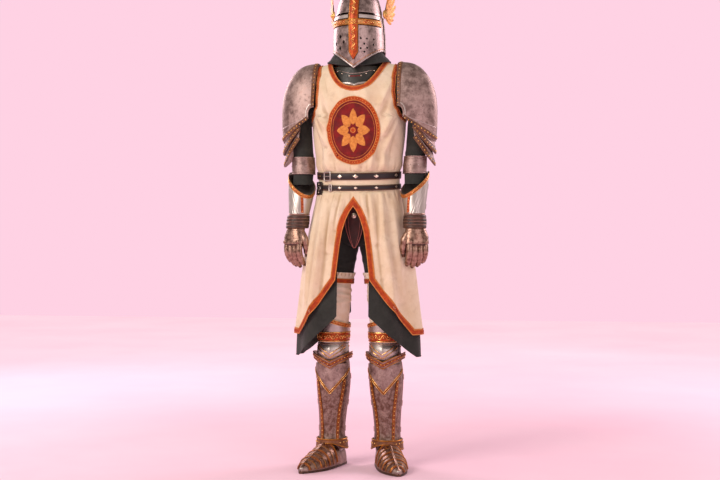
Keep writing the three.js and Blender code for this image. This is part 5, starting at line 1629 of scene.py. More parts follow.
@dataclass
class Belts:
    """Two near-black belts with pale studs, their buckles, a hanging tab and a ring."""

    upper: tuple[float, float] = (1083.0, 1110.0)
    lower: tuple[float, float] = (1043.0, 1063.0)
    lift: float = 1.4
    thick: float = 3.0
    stud_angles: tuple[float, ...] = (-19.7, 2.8, 31.2, 67.8, 104, 137, 170, 203, 236, 268)

    def line(self, middle: float) -> Line:
        """A line round the waist."""
        angles = np.radians(np.arange(-180, 180, 3.0))
        heights = middle + belt_rise(angles) - CHEST_TOP
        return Line(body_point, np.stack([angles, heights], axis=-1), True)

    def strap(self, name: str, low: float, high: float) -> None:
        """A belt with stitched edges and lozenge studs."""
        half, top = (high - low) / 2, self.lift + self.thick
        line = self.line((low + high) / 2)
        profile = [(-half, self.lift), (-half, top - 0.8), (1 - half, top), (half - 1, top),
            (half, top - 0.8), (half, self.lift)]
        place(f"{name}_strap", line.strip(profile), Finish.BELT, Slot.BELT, [name])
        edges = [line.moved(at).cord(0.9, 0.9, top - 0.2) for at in (2.6 - half, half - 2.6)]
        place(f"{name}_stitches", edges, Finish.LEATHER, Slot.BELT)
        studs = [lozenge(line, self.spot(a, (low + high) / 2), half * 0.74, half * 0.5, 2.4, top)
            for a in self.stud_angles]
        place(f"{name}_studs", studs, Finish.STUD, Slot.BELT, sharp=20)
        holes = [dome(line, self.spot(a, (low + high) / 2), 1.6, 0.9, top, 10) for a in (-58, -64, -70, -76)]
        place(f"{name}_eyelets", holes, Finish.GOLD, Slot.BELT)

    def spot(self, angle: float, z: float) -> np.ndarray:
        """A place on a belt's middle line."""
        phi = math.radians(angle)
        return np.array([phi, z + float(belt_rise(np.array(phi))) - CHEST_TOP])

    def buckle(self, name: str, left: float, right: float, low: float, high: float) -> None:
        """A worn frame with a bar and a prong."""
        rise = float(belt_rise(np.arcsin(np.array((left + right) / 2 / 158))))
        top = self.lift + self.thick
        x0, x1, z0, z1 = left + 2.5, right - 2.5, low + rise - 2.5, high + rise + 2.5
        corners = [(x0 + 2, z0), (x1 - 2, z0), (x1, z0 + 2), (x1, z1 - 2), (x1 - 2, z1), (x0 + 2, z1),
            (x0, z1 - 2), (x0, z0 + 2)]
        places = np.array([place_on_body(x, z) for x, z in corners])
        frame_line = Line(over_shoulder, places, True)
        parts = [frame_line.cord(2.6, 3.2, top - 0.2)]
        middle = (z0 + z1) / 2
        prong = Line(over_shoulder, np.array([place_on_body(x0 - 3, middle), place_on_body(x1 + 1, middle)]))
        parts.append(prong.even(3.0).cord(1.7, 2.2, top + 1.6))
        place(f"{name}_frame", parts, Finish.BRIGHT, Slot.BRIGHT, [name])

    def build(self) -> None:
        """Make both belts and what hangs on them."""
        self.strap("belt_upper", *self.upper)
        self.strap("belt_lower", *self.lower)
        self.buckle("buckle_upper", -118, -88, *self.upper)
        self.buckle("buckle_lower", -97, -83, *self.lower)
        places = np.array([[place_on_body(x, z) for z in np.linspace(1030, 1080, 16)]
            for x in np.linspace(-150, -125, 12)])
        grid = over_shoulder(places[..., 0], places[..., 1])
        place("belt_tab_leather", wall(grid, 3.0, 5.4), Finish.BELT, Slot.BELT, ["belt_tab"], bevel=0.6)
        line = Line(over_shoulder, np.array([place_on_body(-137.5, 1072)]))
        rivets = [dome(line, np.array(place_on_body(x, z)), 3.4, 2.6, 8.2, 16)
            for x, z in ((-137.5, 1071), (-137.5, 1039))]
        place("belt_tab_rivets", rivets, Finish.STUD, Slot.BELT)
        turn = np.radians(np.arange(0, 360, 15.0))
        ring = Line(over_shoulder, np.array([place_on_body(-137.5 + 7.5 * math.cos(t),
            1055 + 7.5 * math.sin(t)) for t in turn]), True)
        place("belt_tab_ring", ring.cord(1.5, 2.2, 8.2), Finish.BRIGHT, Slot.BELT)


HOSE = table("z x y wide deep", (385, 101, 2, 50, 54), (440, 100, 0, 50, 54), (500, 99, 0, 53, 57),
    (560, 96, 0, 56, 61), (640, 92, 0, 58, 65), (722, 90, 0, 58, 66))
THIGH_CUFF = table("z x y wide deep", (692, 90, 0, 67, 76), (720, 89, 0, 68, 78), (745, 88, 0, 70, 81))
TROUSER_HIPS = table("z x y wide deep", (834, 0, 2, 112, 56), (848, 0, 2, 146, 80), (890, 0, 2, 157, 97),
    (950, 0, 1, 154, 99), (1040, 0, -1, 143, 97))
TROUSER_LEG = table("z x y wide deep", (700, 90, 0, 62, 71), (750, 87, 0, 67, 75), (800, 83, 0, 72, 79),
    (838, 79, 0, 76, 82), (880, 84, 1, 66, 84))
HOSE_FOLDS = rows_of(
    Fold,
    (-20, 682, 46, 7, 9, 5.76), (40, 664, 50, 7, -8, 5.44), (-50, 652, 44, 6, 10, 4.8),
    (14, 640, 40, 7, 9, 5.12), (-12, 621, 52, 6, -7, 4.16), (52, 612, 40, 6, 8, 4.16),
    (150, 676, 60, 8, 9, 5.44), (200, 650, 60, 7, -9, 5.12), (160, 622, 54, 7, 8, 4.48),
    (100, 640, 34, 7, 6, 3.84), (-110, 668, 36, 7, -6, 4.16), (-100, 630, 36, 6, 6, 3.52),
)
TROUSER_FOLDS = rows_of(
    Fold,
    (0, 800, 40, 9, 14, 2.4), (-40, 772, 40, 8, -12, 2.6), (60, 782, 40, 8, 12, 2.4),
    (20, 752, 60, 6, 8, 2.4), (180, 806, 60, 9, 8, 2.6), (170, 770, 50, 8, -10, 2.6),
    (120, 756, 40, 7, 9, 2.2), (-120, 790, 40, 8, -9, 2.4),
)


@dataclass
class LowerCloth:
    """Under skirt, trousers, loin flap, hose and the frilled cuffs round the thighs."""

    inner: float = 66.0
    tip: float = 577.0
    far: float = 238.0
    low: float = 424.0
    high: float = 1035.0

    def skirt_point(self, phi: np.ndarray, z: np.ndarray) -> np.ndarray:
        """The under skirt's outer face, in loose folds inside the surcoat."""
        hang = smoothstep(1000.0 - z, 0.0, 420.0)
        folds = 0.55 * np.cos(14 * phi + 1.4) + 0.45 * np.cos(9 * phi - 0.6 + 0.002 * z)
        inset = 9.5 + hang * (2.6 - 2.6 * folds)
        point = body_point(phi, z - CHEST_TOP)
        return point - unit(stack(np.sin(phi), -np.cos(phi), 0 * phi)) * inset[..., None]

    def skirt(self, side: Side) -> None:
        """One half of the under skirt, with a turned hem."""
        heights = np.concatenate([np.linspace(self.low, self.tip, 44, endpoint=False),
            np.linspace(self.tip, self.high, 90)])
        rows = []
        for z in heights:
            x = self.inner
            if z < self.tip:
                x = self.inner + (self.tip - z) * (self.far - self.inner) / (self.tip - self.low)
            ends = [place_on_body(side.value * x, float(z), behind)[0] for behind in (False, True)]
            rows.append((ends[0], side.value * math.pi - ends[1]))
        ends = np.array(rows)
        share = np.linspace(0, 1, 120)[:, None]
        phi = ends[None, :, 0] + (ends[None, :, 1] - ends[None, :, 0]) * share
        if side is Side.RIGHT:
            phi = phi[::-1]
        level_z = np.broadcast_to(heights, phi.shape)
        cloth = place(f"under_skirt_cloth_{side.word}", wall(self.skirt_point(phi, level_z), 1.8, -1.8),
            Finish.DARK, Slot.DARK, [f"under_skirt_{side.word}"], sharp=80)
        places = np.concatenate([np.stack([phi[0][::-1], heights[::-1]], -1),
            np.stack([phi[-1], heights], -1)])
        hem = Line(self.skirt_point, places).even(5.0).cord(2.0, 1.6, -0.2)
        trim = place(f"under_skirt_hem_{side.word}", hem, Finish.DARK, Slot.DARK)
        state_sheet(cloth, (0.63, 0.61), 0.28)

    def trousers(self) -> None:
        """Trousers cut short under the knee cuffs, hollow, with creases at the crotch."""
        legs, hips = rumpled(limb(TROUSER_LEG), TROUSER_FOLDS), limb(TROUSER_HIPS)

        def column(surface: Surface, heights: np.ndarray, inset: float, side: Side = Side.LEFT) -> Shape:
            """A filled leg or hip, drawn in by an inset."""
            us, vs = mesh_grid(ring_angles(64), heights)
            grid = surface(us, vs)
            middle = grid.mean(axis=0, keepdims=True)
            drawn = middle + (grid - middle) * (1.0 - inset / 68.0)
            return tube(drawn.transpose(1, 0, 2)).on(side)

        thing = place("trousers_cloth", column(hips, np.linspace(834, 1040, 28), 0.0), Finish.DARK, sharp=70)
        leg_heights = np.linspace(700, 880, 40)
        for side in Side:
            combine(thing, column(legs, leg_heights, 0.0, side), "UNION")
        plain = limb(TROUSER_LEG)
        for side in Side:
            combine(thing, column(plain, np.linspace(690, 884, 12), 4.0, side), "DIFFERENCE")
        lifted = column(hips, np.linspace(840, 1039, 16), 3.0)
        lifted.points[:, 2] += np.where(lifted.points[:, 2] > 1038, 12.0, 0.0)
        combine(thing, lifted, "DIFFERENCE")
        own(thing, Body.SUIT, Slot.DARK, ["trousers"])
        state_sheet(thing, (1.0, 0.34), 0.34)

    def loin_flap(self) -> None:
        """The dark red flap behind the split, piped, with a round boss."""
        rows = table("z half", (826, 3), (860, 20), (905, 34), (993, 40))

        def flap(u: np.ndarray, z: np.ndarray) -> np.ndarray:
            """The flap's outer face, by share of its half width and height."""
            crease = 1.4 * np.sin(u * 5.5 + 0.5) * smoothstep(960.0 - z, 0.0, 60.0)
            bow = 5.0 * smoothstep(z, 826.0, 993.0) - 4.0 * u * u
            return stack(u * read(rows, "half", z), -107.0 - bow + crease * 0.7 - 0.8, z)

        us, vs = mesh_grid(np.linspace(-1, 1, 25), np.linspace(826, 993, 60))
        cloth = place("loin_flap_cloth", wall(flap(us, vs), 1.8, -2.0), Finish.MAROON, Slot.RED,
            ["loin_flap"], sharp=80)
        edge = [(-0.93, z) for z in np.linspace(990, 832, 40)] + [(0.93, z)
            for z in np.linspace(832, 990, 40)]
        line = Line(flap, np.array(edge)).even(4.0)
        piping = place("loin_flap_piping", line.cord(1.5, 1.6, -0.2), Finish.PIPING, Slot.RED)
        inner = Line(flap, np.array([(u * 0.6 / 0.93, z) for u, z in edge])).even(4.0)
        lines = place("loin_flap_line", inner.cord(0.8, 0.8, -0.2), Finish.PIPING, Slot.RED)
        spot = np.array([0.0, 952.0])
        boss = [dome(inner, spot, 11, 4, 0, 28), dome(inner, spot, 6.5, 6.5, 1.0, 22)]
        round_boss = place("loin_flap_boss", boss, Finish.STUD, Slot.RED)
        state_sheet(cloth, (0.08, 0.167), 0.0105)

    def thigh_cuff(self, side: Side) -> None:
        """A gathered frill above an orange band round the thigh."""
        surface = limb(THIGH_CUFF)

        def frilled(angle: np.ndarray, part: np.ndarray) -> np.ndarray:
            """The cuff's outer face, by share of the way up."""
            frill = smoothstep(part, 0.52, 0.95)
            wave = 3.4 * np.sin(26 * angle + 1.1 * np.sin(3 * angle)) * frill + 1.6 * frill
            z = 697 + 43 * part + 5 * np.sin(angle)
            point = surface(angle, z)
            return point + stack(np.sin(angle), -np.cos(angle), 0 * angle) * wave[..., None]

        us, vs = mesh_grid(ring_angles(208), np.linspace(0, 1, 18))
        cloth = place(f"thigh_cuff_cloth_{side.word}", wall(frilled(us, vs), 1.8, -2.0, True).on(side),
            Finish.HOSE, Slot.BRAID, [f"thigh_cuff_{side.word}"], sharp=80)
        line = level(frilled, 0.27).even(4.0)
        band = line.strip(flat_band(9, 1.2, 1.8)).on(side)
        made = [place(f"thigh_cuff_band_{side.word}", band, Finish.BRAID, Slot.BRAID)]
        cords = [line.moved(at).cord(1.3, 1.4, 1.4) for at in (-7.6, 7.6)]
        made.append(place(f"thigh_cuff_cords_{side.word}", Shape.joined(cords).on(side), Finish.THREAD,
            Slot.BRAID))
        state_sheet(cloth, (0.48, 0.045), None)

    def hose(self, side: Side) -> None:
        """The cream hose, wrinkled where it shows over the cuisse."""
        surface = rumpled(limb(HOSE), HOSE_FOLDS)
        cloth = place(f"hose_cloth_{side.word}",
            ring_wall(surface, np.linspace(385, 722, 120), 1.7, -1.9, 96).on(side), Finish.HOSE,
            Slot.CREAM, [f"hose_{side.word}"], sharp=80)
        state_sheet(cloth, (0.365, 0.337))

    def build(self) -> None:
        """Make all the cloth below the belts."""
        self.trousers()
        self.loin_flap()
        for side in Side:
            self.skirt(side)
            self.thigh_cuff(side)
            self.hose(side)


# ---------------------------------------------------------------- arms

SLEEVE = table("part x y z wide deep tilt", (0, 216, -22, 1070, 38, 39, 0), (1, 214, -8, 1130, 38, 41, 0),
    (2, 218, 0, 1200, 38, 44, 0), (3, 223, 4, 1280, 38, 46, 0), (4, 226, 4, 1352, 40, 51, 12),
    (5, 198, 2, 1412, 54, 56, 42), (6, 168, 0, 1446, 58, 58, 62))
PAULDRON_RIDGE = table("part x z", (0, 151, 1533), (1, 178, 1534), (2, 211, 1527), (3, 243, 1507),
    (4, 270, 1472), (5, 289, 1428), (6, 298, 1380), (7, 300, 1325), (8, 298, 1275), (9, 294, 1231))
REREBRACE = table("z x y wide deep", (1110, 214, -10, 44, 46), (1140, 215, -6, 45, 47),
    (1177, 217, -2, 43, 48))
VAMBRACE = table("z x y wide deep", (954, 221, -62, 38, 41), (990, 219, -52, 43, 46),
    (1037, 217, -38, 49, 51), (1075, 216, -27, 52, 54), (1123, 214, -15, 55, 60))
WRIST = table("z x y wide deep", (904, 224, -79, 42, 39), (929, 223, -70, 43, 41), (953, 222, -63, 41, 42))


@dataclass
class Lame:
    """A narrow plate under the pauldron: its upper and lower ridge ends and its pivots."""

    top: tuple[float, float]
    low: tuple[float, float]
    inner: float
    inner_top: float
    inner_low: float
    deep: float

    def point(self, part: np.ndarray, swing: np.ndarray) -> np.ndarray:
        """The plate's outer face: share of the way down, and swing round to the front or back."""
        x = self.top[0] + (self.low[0] - self.top[0]) * part
        z = self.top[1] + (self.low[1] - self.top[1]) * part
        hinge_x = self.inner + 6 * part
        hinge_z = self.inner_top + (self.inner_low - self.inner_top) * part
        return stack(hinge_x + (x - hinge_x) * np.cos(swing), (self.deep + 3 * part) * np.sin(swing),
            hinge_z + (z - hinge_z) * np.cos(swing))


def pauldron_point(part: np.ndarray, swing: np.ndarray) -> np.ndarray:
    """The pauldron's outer face, from its inner edge over the shoulder to its lower edge."""
    x, z = read(PAULDRON_RIDGE, "x", part, "part"), read(PAULDRON_RIDGE, "z", part, "part")
    return stack(161 + (x - 161) * np.cos(swing), 90 * np.sin(swing), 1332 + (z - 1332) * np.cos(swing))


def sleeve_point(angle: np.ndarray, part: np.ndarray) -> np.ndarray:
    """The sleeve's outer face, by its sections."""
    cells = {name: read(SLEEVE, name, part, "part") for name in ("x", "y", "z", "wide", "deep", "tilt")}
    across, tilt = cells["wide"] * np.sin(angle), np.radians(cells["tilt"])
    return stack(cells["x"] + across * np.cos(tilt), cells["y"] - cells["deep"] * np.cos(angle),
        cells["z"] + across * np.sin(tilt))


SLEEVE_FOLDS = rows_of(
    Fold,
    (-30, 1.35, 70, 0.10, 0.14, 2.4), (30, 1.62, 60, 0.10, -0.12, 2.2), (-60, 1.9, 60, 0.11, 0.16, 2.4),
    (60, 2.2, 60, 0.12, 0.12, 2.2), (180, 1.5, 70, 0.12, 0.1, 2.4), (160, 2.0, 60, 0.12, -0.1, 2.2),
    (-20, 2.55, 50, 0.12, 0.15, 2.0), (10, 3.1, 60, 0.13, -0.16, 2.0), (-40, 3.7, 60, 0.14, 0.2, 2.2),
    (120, 2.8, 60, 0.13, 0.14, 2.0),
)
FINGERS = table("across length radius", (-31, 80, 10.5), (-10.5, 87, 11), (10.5, 83, 10.5), (31, 70, 9.5))
CURL = table("part out taper", (0, 6, 1), (0.42, 5, 1), (0.78, -9, 0.92), (1, -24, 0.55))
THUMB = table("part across out z radius", (0, -28, -10, 890, 13), (1, -45, -10, 860, 13),
    (2, -48, -16, 828, 11), (3, -43, -24, 798, 7))
PALM = table("z across out half deep", (835, -1, 6, 38, 11), (846, -1, 6, 42, 16), (872, 0, -1, 41, 22),
    (905, -1, -12, 35, 27), (938, 2, -23, 31, 28))


def hand_point(across: np.ndarray, out: np.ndarray, z: np.ndarray) -> np.ndarray:
    """A point in the hand's own directions: towards the little finger, out of its back, and up."""
    way = math.radians(30.0)
    return stack(233 + across * math.cos(way) + out * math.sin(way),
        -89 + across * math.sin(way) - out * math.cos(way), z)


def palm_point(angle: np.ndarray, z: np.ndarray) -> np.ndarray:
    """The palm's surface; angle zero is the back of the hand."""
    cells = {name: read(PALM, name, z) for name in ("across", "out", "half", "deep")}
    return hand_point(cells["across"] + cells["half"] * np.sin(angle),
        cells["out"] + cells["deep"] * np.cos(angle), z)


@dataclass
class Digit:
    """A finger or thumb as a bent tube through its stations."""

    stations: np.ndarray  # across, out, z and radius, from the knuckle on

    def point(self, angle: np.ndarray, part: np.ndarray) -> np.ndarray:
        """Its surface; angle zero is the outer side."""
        spots = np.linspace(0, 1, len(self.stations))
        cells = [np.interp(part, spots, self.stations[:, k]) for k in range(4)]
        ahead = [np.interp(part + 0.03, spots, self.stations[:, k]) for k in range(3)]
        before = [np.interp(part - 0.03, spots, self.stations[:, k]) for k in range(3)]
        run = unit(np.stack([a - b for a, b in zip(ahead, before)], axis=-1))
        middle = np.stack(cells[:3], axis=-1)
        first = unit(np.array([1.0, 0.0, 0.0]) - run * run[..., :1])
        second = np.cross(first, run)
        second = np.where(second[..., 1:2] < 0, -second, second)
        rim = middle + (first * np.sin(angle)[..., None]
            + second * np.cos(angle)[..., None]) * cells[3][..., None]
        return hand_point(rim[..., 0], rim[..., 1], rim[..., 2])

    def glove(self) -> Shape:
        """The closed leather finger inside the lames."""
        us, vs = mesh_grid(ring_angles(20), np.linspace(0.0, 1.0, 22))
        grid = self.point(us, vs)
        return tube(grid.transpose(1, 0, 2))

    def lames(self, edges: Sequence[float], lift: float) -> Shape:
        """Overlapping plates on the finger's outer side, each raised over the next."""
        plates = []
        for low, high in zip(edges[:-1], edges[1:]):
            us, vs = mesh_grid(np.radians(np.linspace(-104, 104, 17)), np.linspace(low, high + 0.035, 7))
            grid = self.point(us, np.minimum(vs, 1.0))[:, ::-1]
            rise = lift + 1.5 * np.linspace(0, 1, 7)[::-1]
            plates.append(wall(grid, 1.1, np.broadcast_to(rise, grid.shape[:2])))
        return Shape.joined(plates)


@dataclass
class Harness:
    """The armour of one limb, worked out for the left and mirrored for the right."""

    side: Side
    plate: float = 2.2

    def put(self, name: str, shapes: Shape | list[Shape], finish: Finish, slot: Slot,
            replaces: Sequence[str] = (), **settings: float) -> bpy.types.Object:
        """Place left-hand shapes on this limb's side, for nodes named without their side."""
        shape = shapes if isinstance(shapes, Shape) else Shape.joined(shapes)
        word = self.side.word
        return place(f"{name}_{word}", shape.on(self.side), finish, slot,
            [f"{node}_{word}" for node in replaces], **settings)


@dataclass
class Arm(Harness):
    """One arm: sleeve, pauldron with its lames, rerebrace, vambrace, wrist rings and gauntlet."""

    open: float = 82.0
    lames: tuple[Lame, ...] = (Lame((285, 1262), (294, 1184), 196, 1324, 1302, 74),
        Lame((280, 1204), (291, 1140), 201, 1308, 1266, 65))

    def build(self) -> None:
        """Make the whole arm."""
        self.sleeve()
        self.pauldron()
        for k, name in enumerate(("lame_upper", "lame_lower")):
            self.lame(name, self.lames[k])
        self.rerebrace()
        self.vambrace()
        self.wrist()
        self.gauntlet()

    def sleeve(self) -> None:
        """The dark wool sleeve, wrinkled at the elbow."""
        surface = rumpled(sleeve_point, SLEEVE_FOLDS, 0.01)
        us, vs = mesh_grid(ring_angles(80), np.linspace(0, 6, 110))
        cloth = self.put("sleeve_cloth", wall(surface(us, vs), 1.8, -2.0, True), Finish.DARK, Slot.DARK,
            ["sleeve"], sharp=80)
        state_sheet(cloth, (0.29, 0.42), 0.105)

    def pauldron(self) -> None:
        """The domed shoulder plate, edged with studded leather."""
        swing = math.radians(self.open)
        us, vs = mesh_grid(np.linspace(0, 9, 90), np.linspace(-swing, swing, 64))
        self.put("pauldron_plate", wall(pauldron_point(us, vs), self.plate, -self.plate), Finish.STEEL,
            Slot.STEEL, ["pauldron"], bevel=0.6)
        swings = np.linspace(-swing * 0.985, swing * 0.985, 40)
        inner = Line(pauldron_point, np.stack([np.full_like(swings, 0.42), swings], -1)).even(5.0)
        lower = Line(pauldron_point, np.stack([np.full_like(swings, 8.66), swings], -1)).even(5.0)
        strip = flat_band(8, 1.6, 2.4, -0.3, 1.2)
        self.put("pauldron_edging", [inner.strip(strip), lower.strip(strip)], Finish.LEATHER, Slot.LEATHER)
        studs = Shape.joined([inner.studs(15.0, 2.3, 2.2, 2.2), lower.studs(14.5, 2.9, 2.6, 2.2)])
        self.put("pauldron_studs", studs, Finish.GOLD, Slot.GILT)
        sides = []
        for sign in (-1, 1):
            parts = np.linspace(0.8, 8.4, 40)
            sides.append(Line(pauldron_point, np.stack([parts, np.full_like(parts, sign * swing * 0.955)],
                -1)) .even(5.0).cord(2.4, 1.8, -0.2))
        ridge = Line(pauldron_point, np.stack([np.full_like(swings, 7.86), swings], -1)).even(5.0)
        self.put("pauldron_rims", [*sides, ridge.cord(1.6, 1.4, -0.2)], Finish.BRIGHT, Slot.STEEL)

    def lame(self, name: str, lame: Lame) -> None:
        """One of the two lames with its studded lower edge and a raised middle line."""
        swing = math.radians(80.0)
        us, vs = mesh_grid(np.linspace(0, 1, 22), np.linspace(-swing, swing, 60))
        self.put(f"{name}_plate", wall(lame.point(us, vs), self.plate, -self.plate), Finish.STEEL,
            Slot.STEEL, [name], bevel=0.5)
        swings = np.linspace(-swing * 0.98, swing * 0.98, 40)

        def across(part: float) -> Line:
            """A line across the plate at a share of the way down."""
            return Line(lame.point, np.stack([np.full_like(swings, part), swings], -1)).even(5.0)

        lower = across(0.86)
        strip = flat_band(9, 1.5, 2.3, -0.3, 1.2)
        self.put(f"{name}_edging", lower.strip(strip), Finish.LEATHER, Slot.LEATHER)
        self.put(f"{name}_studs", lower.studs(14.0, 2.7, 2.4, 2.1), Finish.GOLD, Slot.GILT)
        middle = Shape.joined([across(0.62).cord(2.2, 2.4, -0.2), across(0.40).cord(1.3, 1.4, -0.2)])
        self.put(f"{name}_ridges", middle, Finish.BRIGHT, Slot.STEEL)

    def rerebrace(self) -> None:
        """The short upper-arm tube with rolled ends."""
        surface = limb(REREBRACE)
        self.put("rerebrace_plate", ring_wall(surface, np.linspace(1110, 1177, 22), self.plate,
            -self.plate), Finish.STEEL, Slot.STEEL, ["rerebrace"], bevel=0.5)
        rims = [level(surface, z).cord(2.4, 2.0, -0.2) for z in (1112.5, 1174.5)]
        rims += [level(surface, z).cord(1.1, 1.2, -0.2) for z in (1119, 1166)]
        self.put("rerebrace_rims", rims, Finish.STEEL, Slot.STEEL)
        self.put("rerebrace_rivets", level(surface, 1142, 150, 0).studs(38, 2.8, 2.2), Finish.BRIGHT,
            Slot.STEEL)

    def vambrace_top(self, angle: np.ndarray) -> np.ndarray:
        """The slanting upper edge of the vambrace."""
        return np.minimum(1121.0, 1079.0 - 48.0 * np.cos(angle + math.radians(45)))

    def vambrace(self) -> None:
        """The forearm plate: slanted trimmed top, two engraved grooves and an ornamented strip."""
        surface = limb(VAMBRACE)
        shaped = between(surface, 954.0, self.vambrace_top)
        us, vs = mesh_grid(ring_angles(110), np.linspace(0, 1, 60))
        grid = shaped(us, vs)
        turned = np.degrees(us)
        relief = np.zeros_like(us)
        for start, lean in ((18.0, 0.55), (44.0, 0.55)):
            away = turned - start - (vs - 0.5) * 100 * lean
            relief -= 0.9 * np.exp(-((away / 2.6) ** 2)) - 0.7 * np.exp(-(((np.abs(away) - 6.0) / 2.4) ** 2))
        self.put("vambrace_plate", wall(grid, self.plate, relief - self.plate, True), Finish.BRIGHT,
            Slot.BRIGHT, ["vambrace"], bevel=0.5)
        angles = np.linspace(-180, 180, 96, endpoint=False)
        top = Line(surface, np.array([(math.radians(a), float(self.vambrace_top(np.radians(a))) - 8.0)
            for a in angles]), True).even(5.0)
        strip = flat_band(6, 1.1, 1.8)
        self.put("vambrace_trims", top.strip(strip), Finish.ENAMEL, Slot.ORNAMENT)
        rims = [top.moved(at).cord(1.5, 1.7, 1.0) for at in (-5.6, 5.6)]
        self.put("vambrace_rims", rims, Finish.GOLD, Slot.GILT)
        self.put("vambrace_scroll", top.vine(2.4, 17, 0.9, 1.5), Finish.GOLD, Slot.GILT)
        self.put("vambrace_cuff", level(surface, 957.0).cord(2.4, 2.2, -0.2), Finish.AGED, Slot.BRIGHT)
        seam = along(surface, (-30, 962), (-14, 1036)).even(5.0)
        self.put("vambrace_strip", seam.strip(flat_band(5, 1.0, 1.6)), Finish.ENAMEL, Slot.ORNAMENT)
        self.put("vambrace_strip_studs", seam.studs(11, 2.3, 1.9, 1.4), Finish.GOLD, Slot.GILT)
        hinge = [along(surface, (112, z - 9), (112, z + 9)).even(3.0).cord(3.6, 3.4, -0.2)
            for z in (985, 1062)]
        self.put("vambrace_hinges", hinge, Finish.STEEL, Slot.STEEL)

    def wrist(self) -> None:
        """Brown leather rings round the wrist."""
        surface = limb(WRIST)
        heights = np.linspace(904, 953, 50)
        us, vs = mesh_grid(ring_angles(96), heights)
        bulge = 1.4 * np.abs(np.sin((vs - 904) / 49 * math.pi * 4)) ** 0.7 - 0.2
        self.put("wrist_rings", wall(surface(us, vs), 3.0, bulge - 3.0, True), Finish.LEATHER,
            Slot.LEATHER, ["wrist_band"], sharp=60)
        lines = [level(surface, z).cord(1.1, 1.3, 0.2) for z in (916.2, 928.5, 940.8)]
        self.put("wrist_wires", lines, Finish.AGED, Slot.GILT)

    def gauntlet(self) -> None:
        """The gauntlet: leather glove, hand and knuckle plates, and lames on each finger."""
        us, vs = mesh_grid(ring_angles(56), np.linspace(835, 938, 34))
        palm = wall(palm_point(us, vs), 2.0, -2.0, True)
        floor = tube(palm_point(*mesh_grid(ring_angles(56), [835.0, 838.0])).transpose(1, 0, 2))
        digits = [self.finger(row) for row in FINGERS]
        thumb = Digit(np.array([[row["across"], row["out"], row["z"], row["radius"]] for row in THUMB]))
        glove = Shape.joined([palm, floor, *[digit.glove() for digit in digits], thumb.glove()])
        self.put("gauntlet_glove", glove, Finish.LEATHER, Slot.BRIGHT, ["gauntlet"], sharp=60)
        plates = []
        for low, high, lift in ((893, 934, 1.0), (866, 898, 1.8), (846, 871, 1.0)):
            angles, heights = mesh_grid(np.radians(np.linspace(-96, 96, 40)), np.linspace(low, high, 14))
            rise = lift + 1.4 * (1.0 - np.linspace(0, 1, 14))
            plates.append(wall(palm_point(angles, heights), 1.8, np.broadcast_to(rise, angles.shape)))
        self.put("gauntlet_plates", plates, Finish.AGED, Slot.BRIGHT, bevel=0.4)
        joints = [digit.lames((0.02, 0.2, 0.38, 0.54, 0.7, 0.86), 0.6) for digit in digits]
        joints.append(thumb.lames((0.08, 0.34, 0.58, 0.82), 0.6))
        self.put("gauntlet_lames", joints, Finish.AGED, Slot.BRIGHT)
        knuckles = [blob(hand_point(row["across"], 23.0 - abs(row["across"]) * 0.14, 852.0),
            (0.5, -0.86, -0.1), 8.5, 4.0, 16) for row in FINGERS]
        self.put("gauntlet_knuckles", knuckles, Finish.AGED, Slot.BRIGHT)
        back = Line(palm_point, np.array([(a, 931.0) for a in np.radians(np.linspace(-92, 92, 40))]))
        self.put("gauntlet_rim", back.even(4.0).cord(1.8, 2.2, 2.6), Finish.GILT, Slot.GILT)
        rivets = back.moved(-6.0).studs(15.0, 2.1, 1.8, 2.8)
        self.put("gauntlet_rivets", rivets, Finish.GOLD, Slot.GILT)

    def finger(self, row: dict[str, float]) -> Digit:
        """The digit of one row of the fingers' table."""
        parts = np.linspace(0, 1, 12)
        out, taper = read(CURL, "out", parts, "part"), read(CURL, "taper", parts, "part")
        return Digit(np.stack([np.full_like(parts, row["across"]), out, 845 - row["length"] * parts,
            row["radius"] * taper], axis=-1))


# ---------------------------------------------------------------- legs

CUISSE = table("z x y wide deep", (472, 99, -2, 59, 64), (520, 97, -1, 61, 67), (580, 95, 0, 62, 68))
POLEYN = table("z x y wide deep", (408, 101, -2, 59, 66), (432, 100, -5, 61, 74), (452, 100, -5, 60, 73),
    (471, 99, -2, 58, 65))
GREAVE_COLLAR = table("z x y wide deep", (373, 102, 4, 68, 71), (405, 102, 1, 72, 76), (437, 102, -1, 75, 81))
GREAVE = table("z x y wide deep", (92, 107, 8, 52, 53), (133, 107, 10, 49, 50), (209, 105, 12, 54, 58),
    (270, 103, 13, 61, 67), (323, 102, 12, 65, 70), (365, 102, 8, 64, 67), (403, 101, 4, 61, 63))
ANKLE_STRAP = table("z x y wide deep", (62, 107, 8, 62, 66), (85, 107, 8, 61, 63), (107, 107, 8, 57, 59))
SABATON = table("along half high", (-62, 22, 60), (-52, 35, 80), (-25, 44, 96), (45, 50, 92), (98, 52, 70),
    (148, 47, 52), (196, 29, 36), (232, 5, 18))


def foot_point(turn: np.ndarray, far: np.ndarray) -> np.ndarray:
    """The sabaton's upper: turn over it from the little toe's side, and way along it from the ankle."""
    half = read(SABATON, "half", far, "along")
    high = read(SABATON, "high", far, "along")
    across = half * np.cos(turn)
    z = 8.0 + (high - 8.0) * np.maximum(np.sin(turn), 0.0) ** 0.85
    yaw = math.radians(19.0)
    return stack(107 + across * math.cos(yaw) + far * math.sin(yaw),
        8 + across * math.sin(yaw) - far * math.cos(yaw), z)


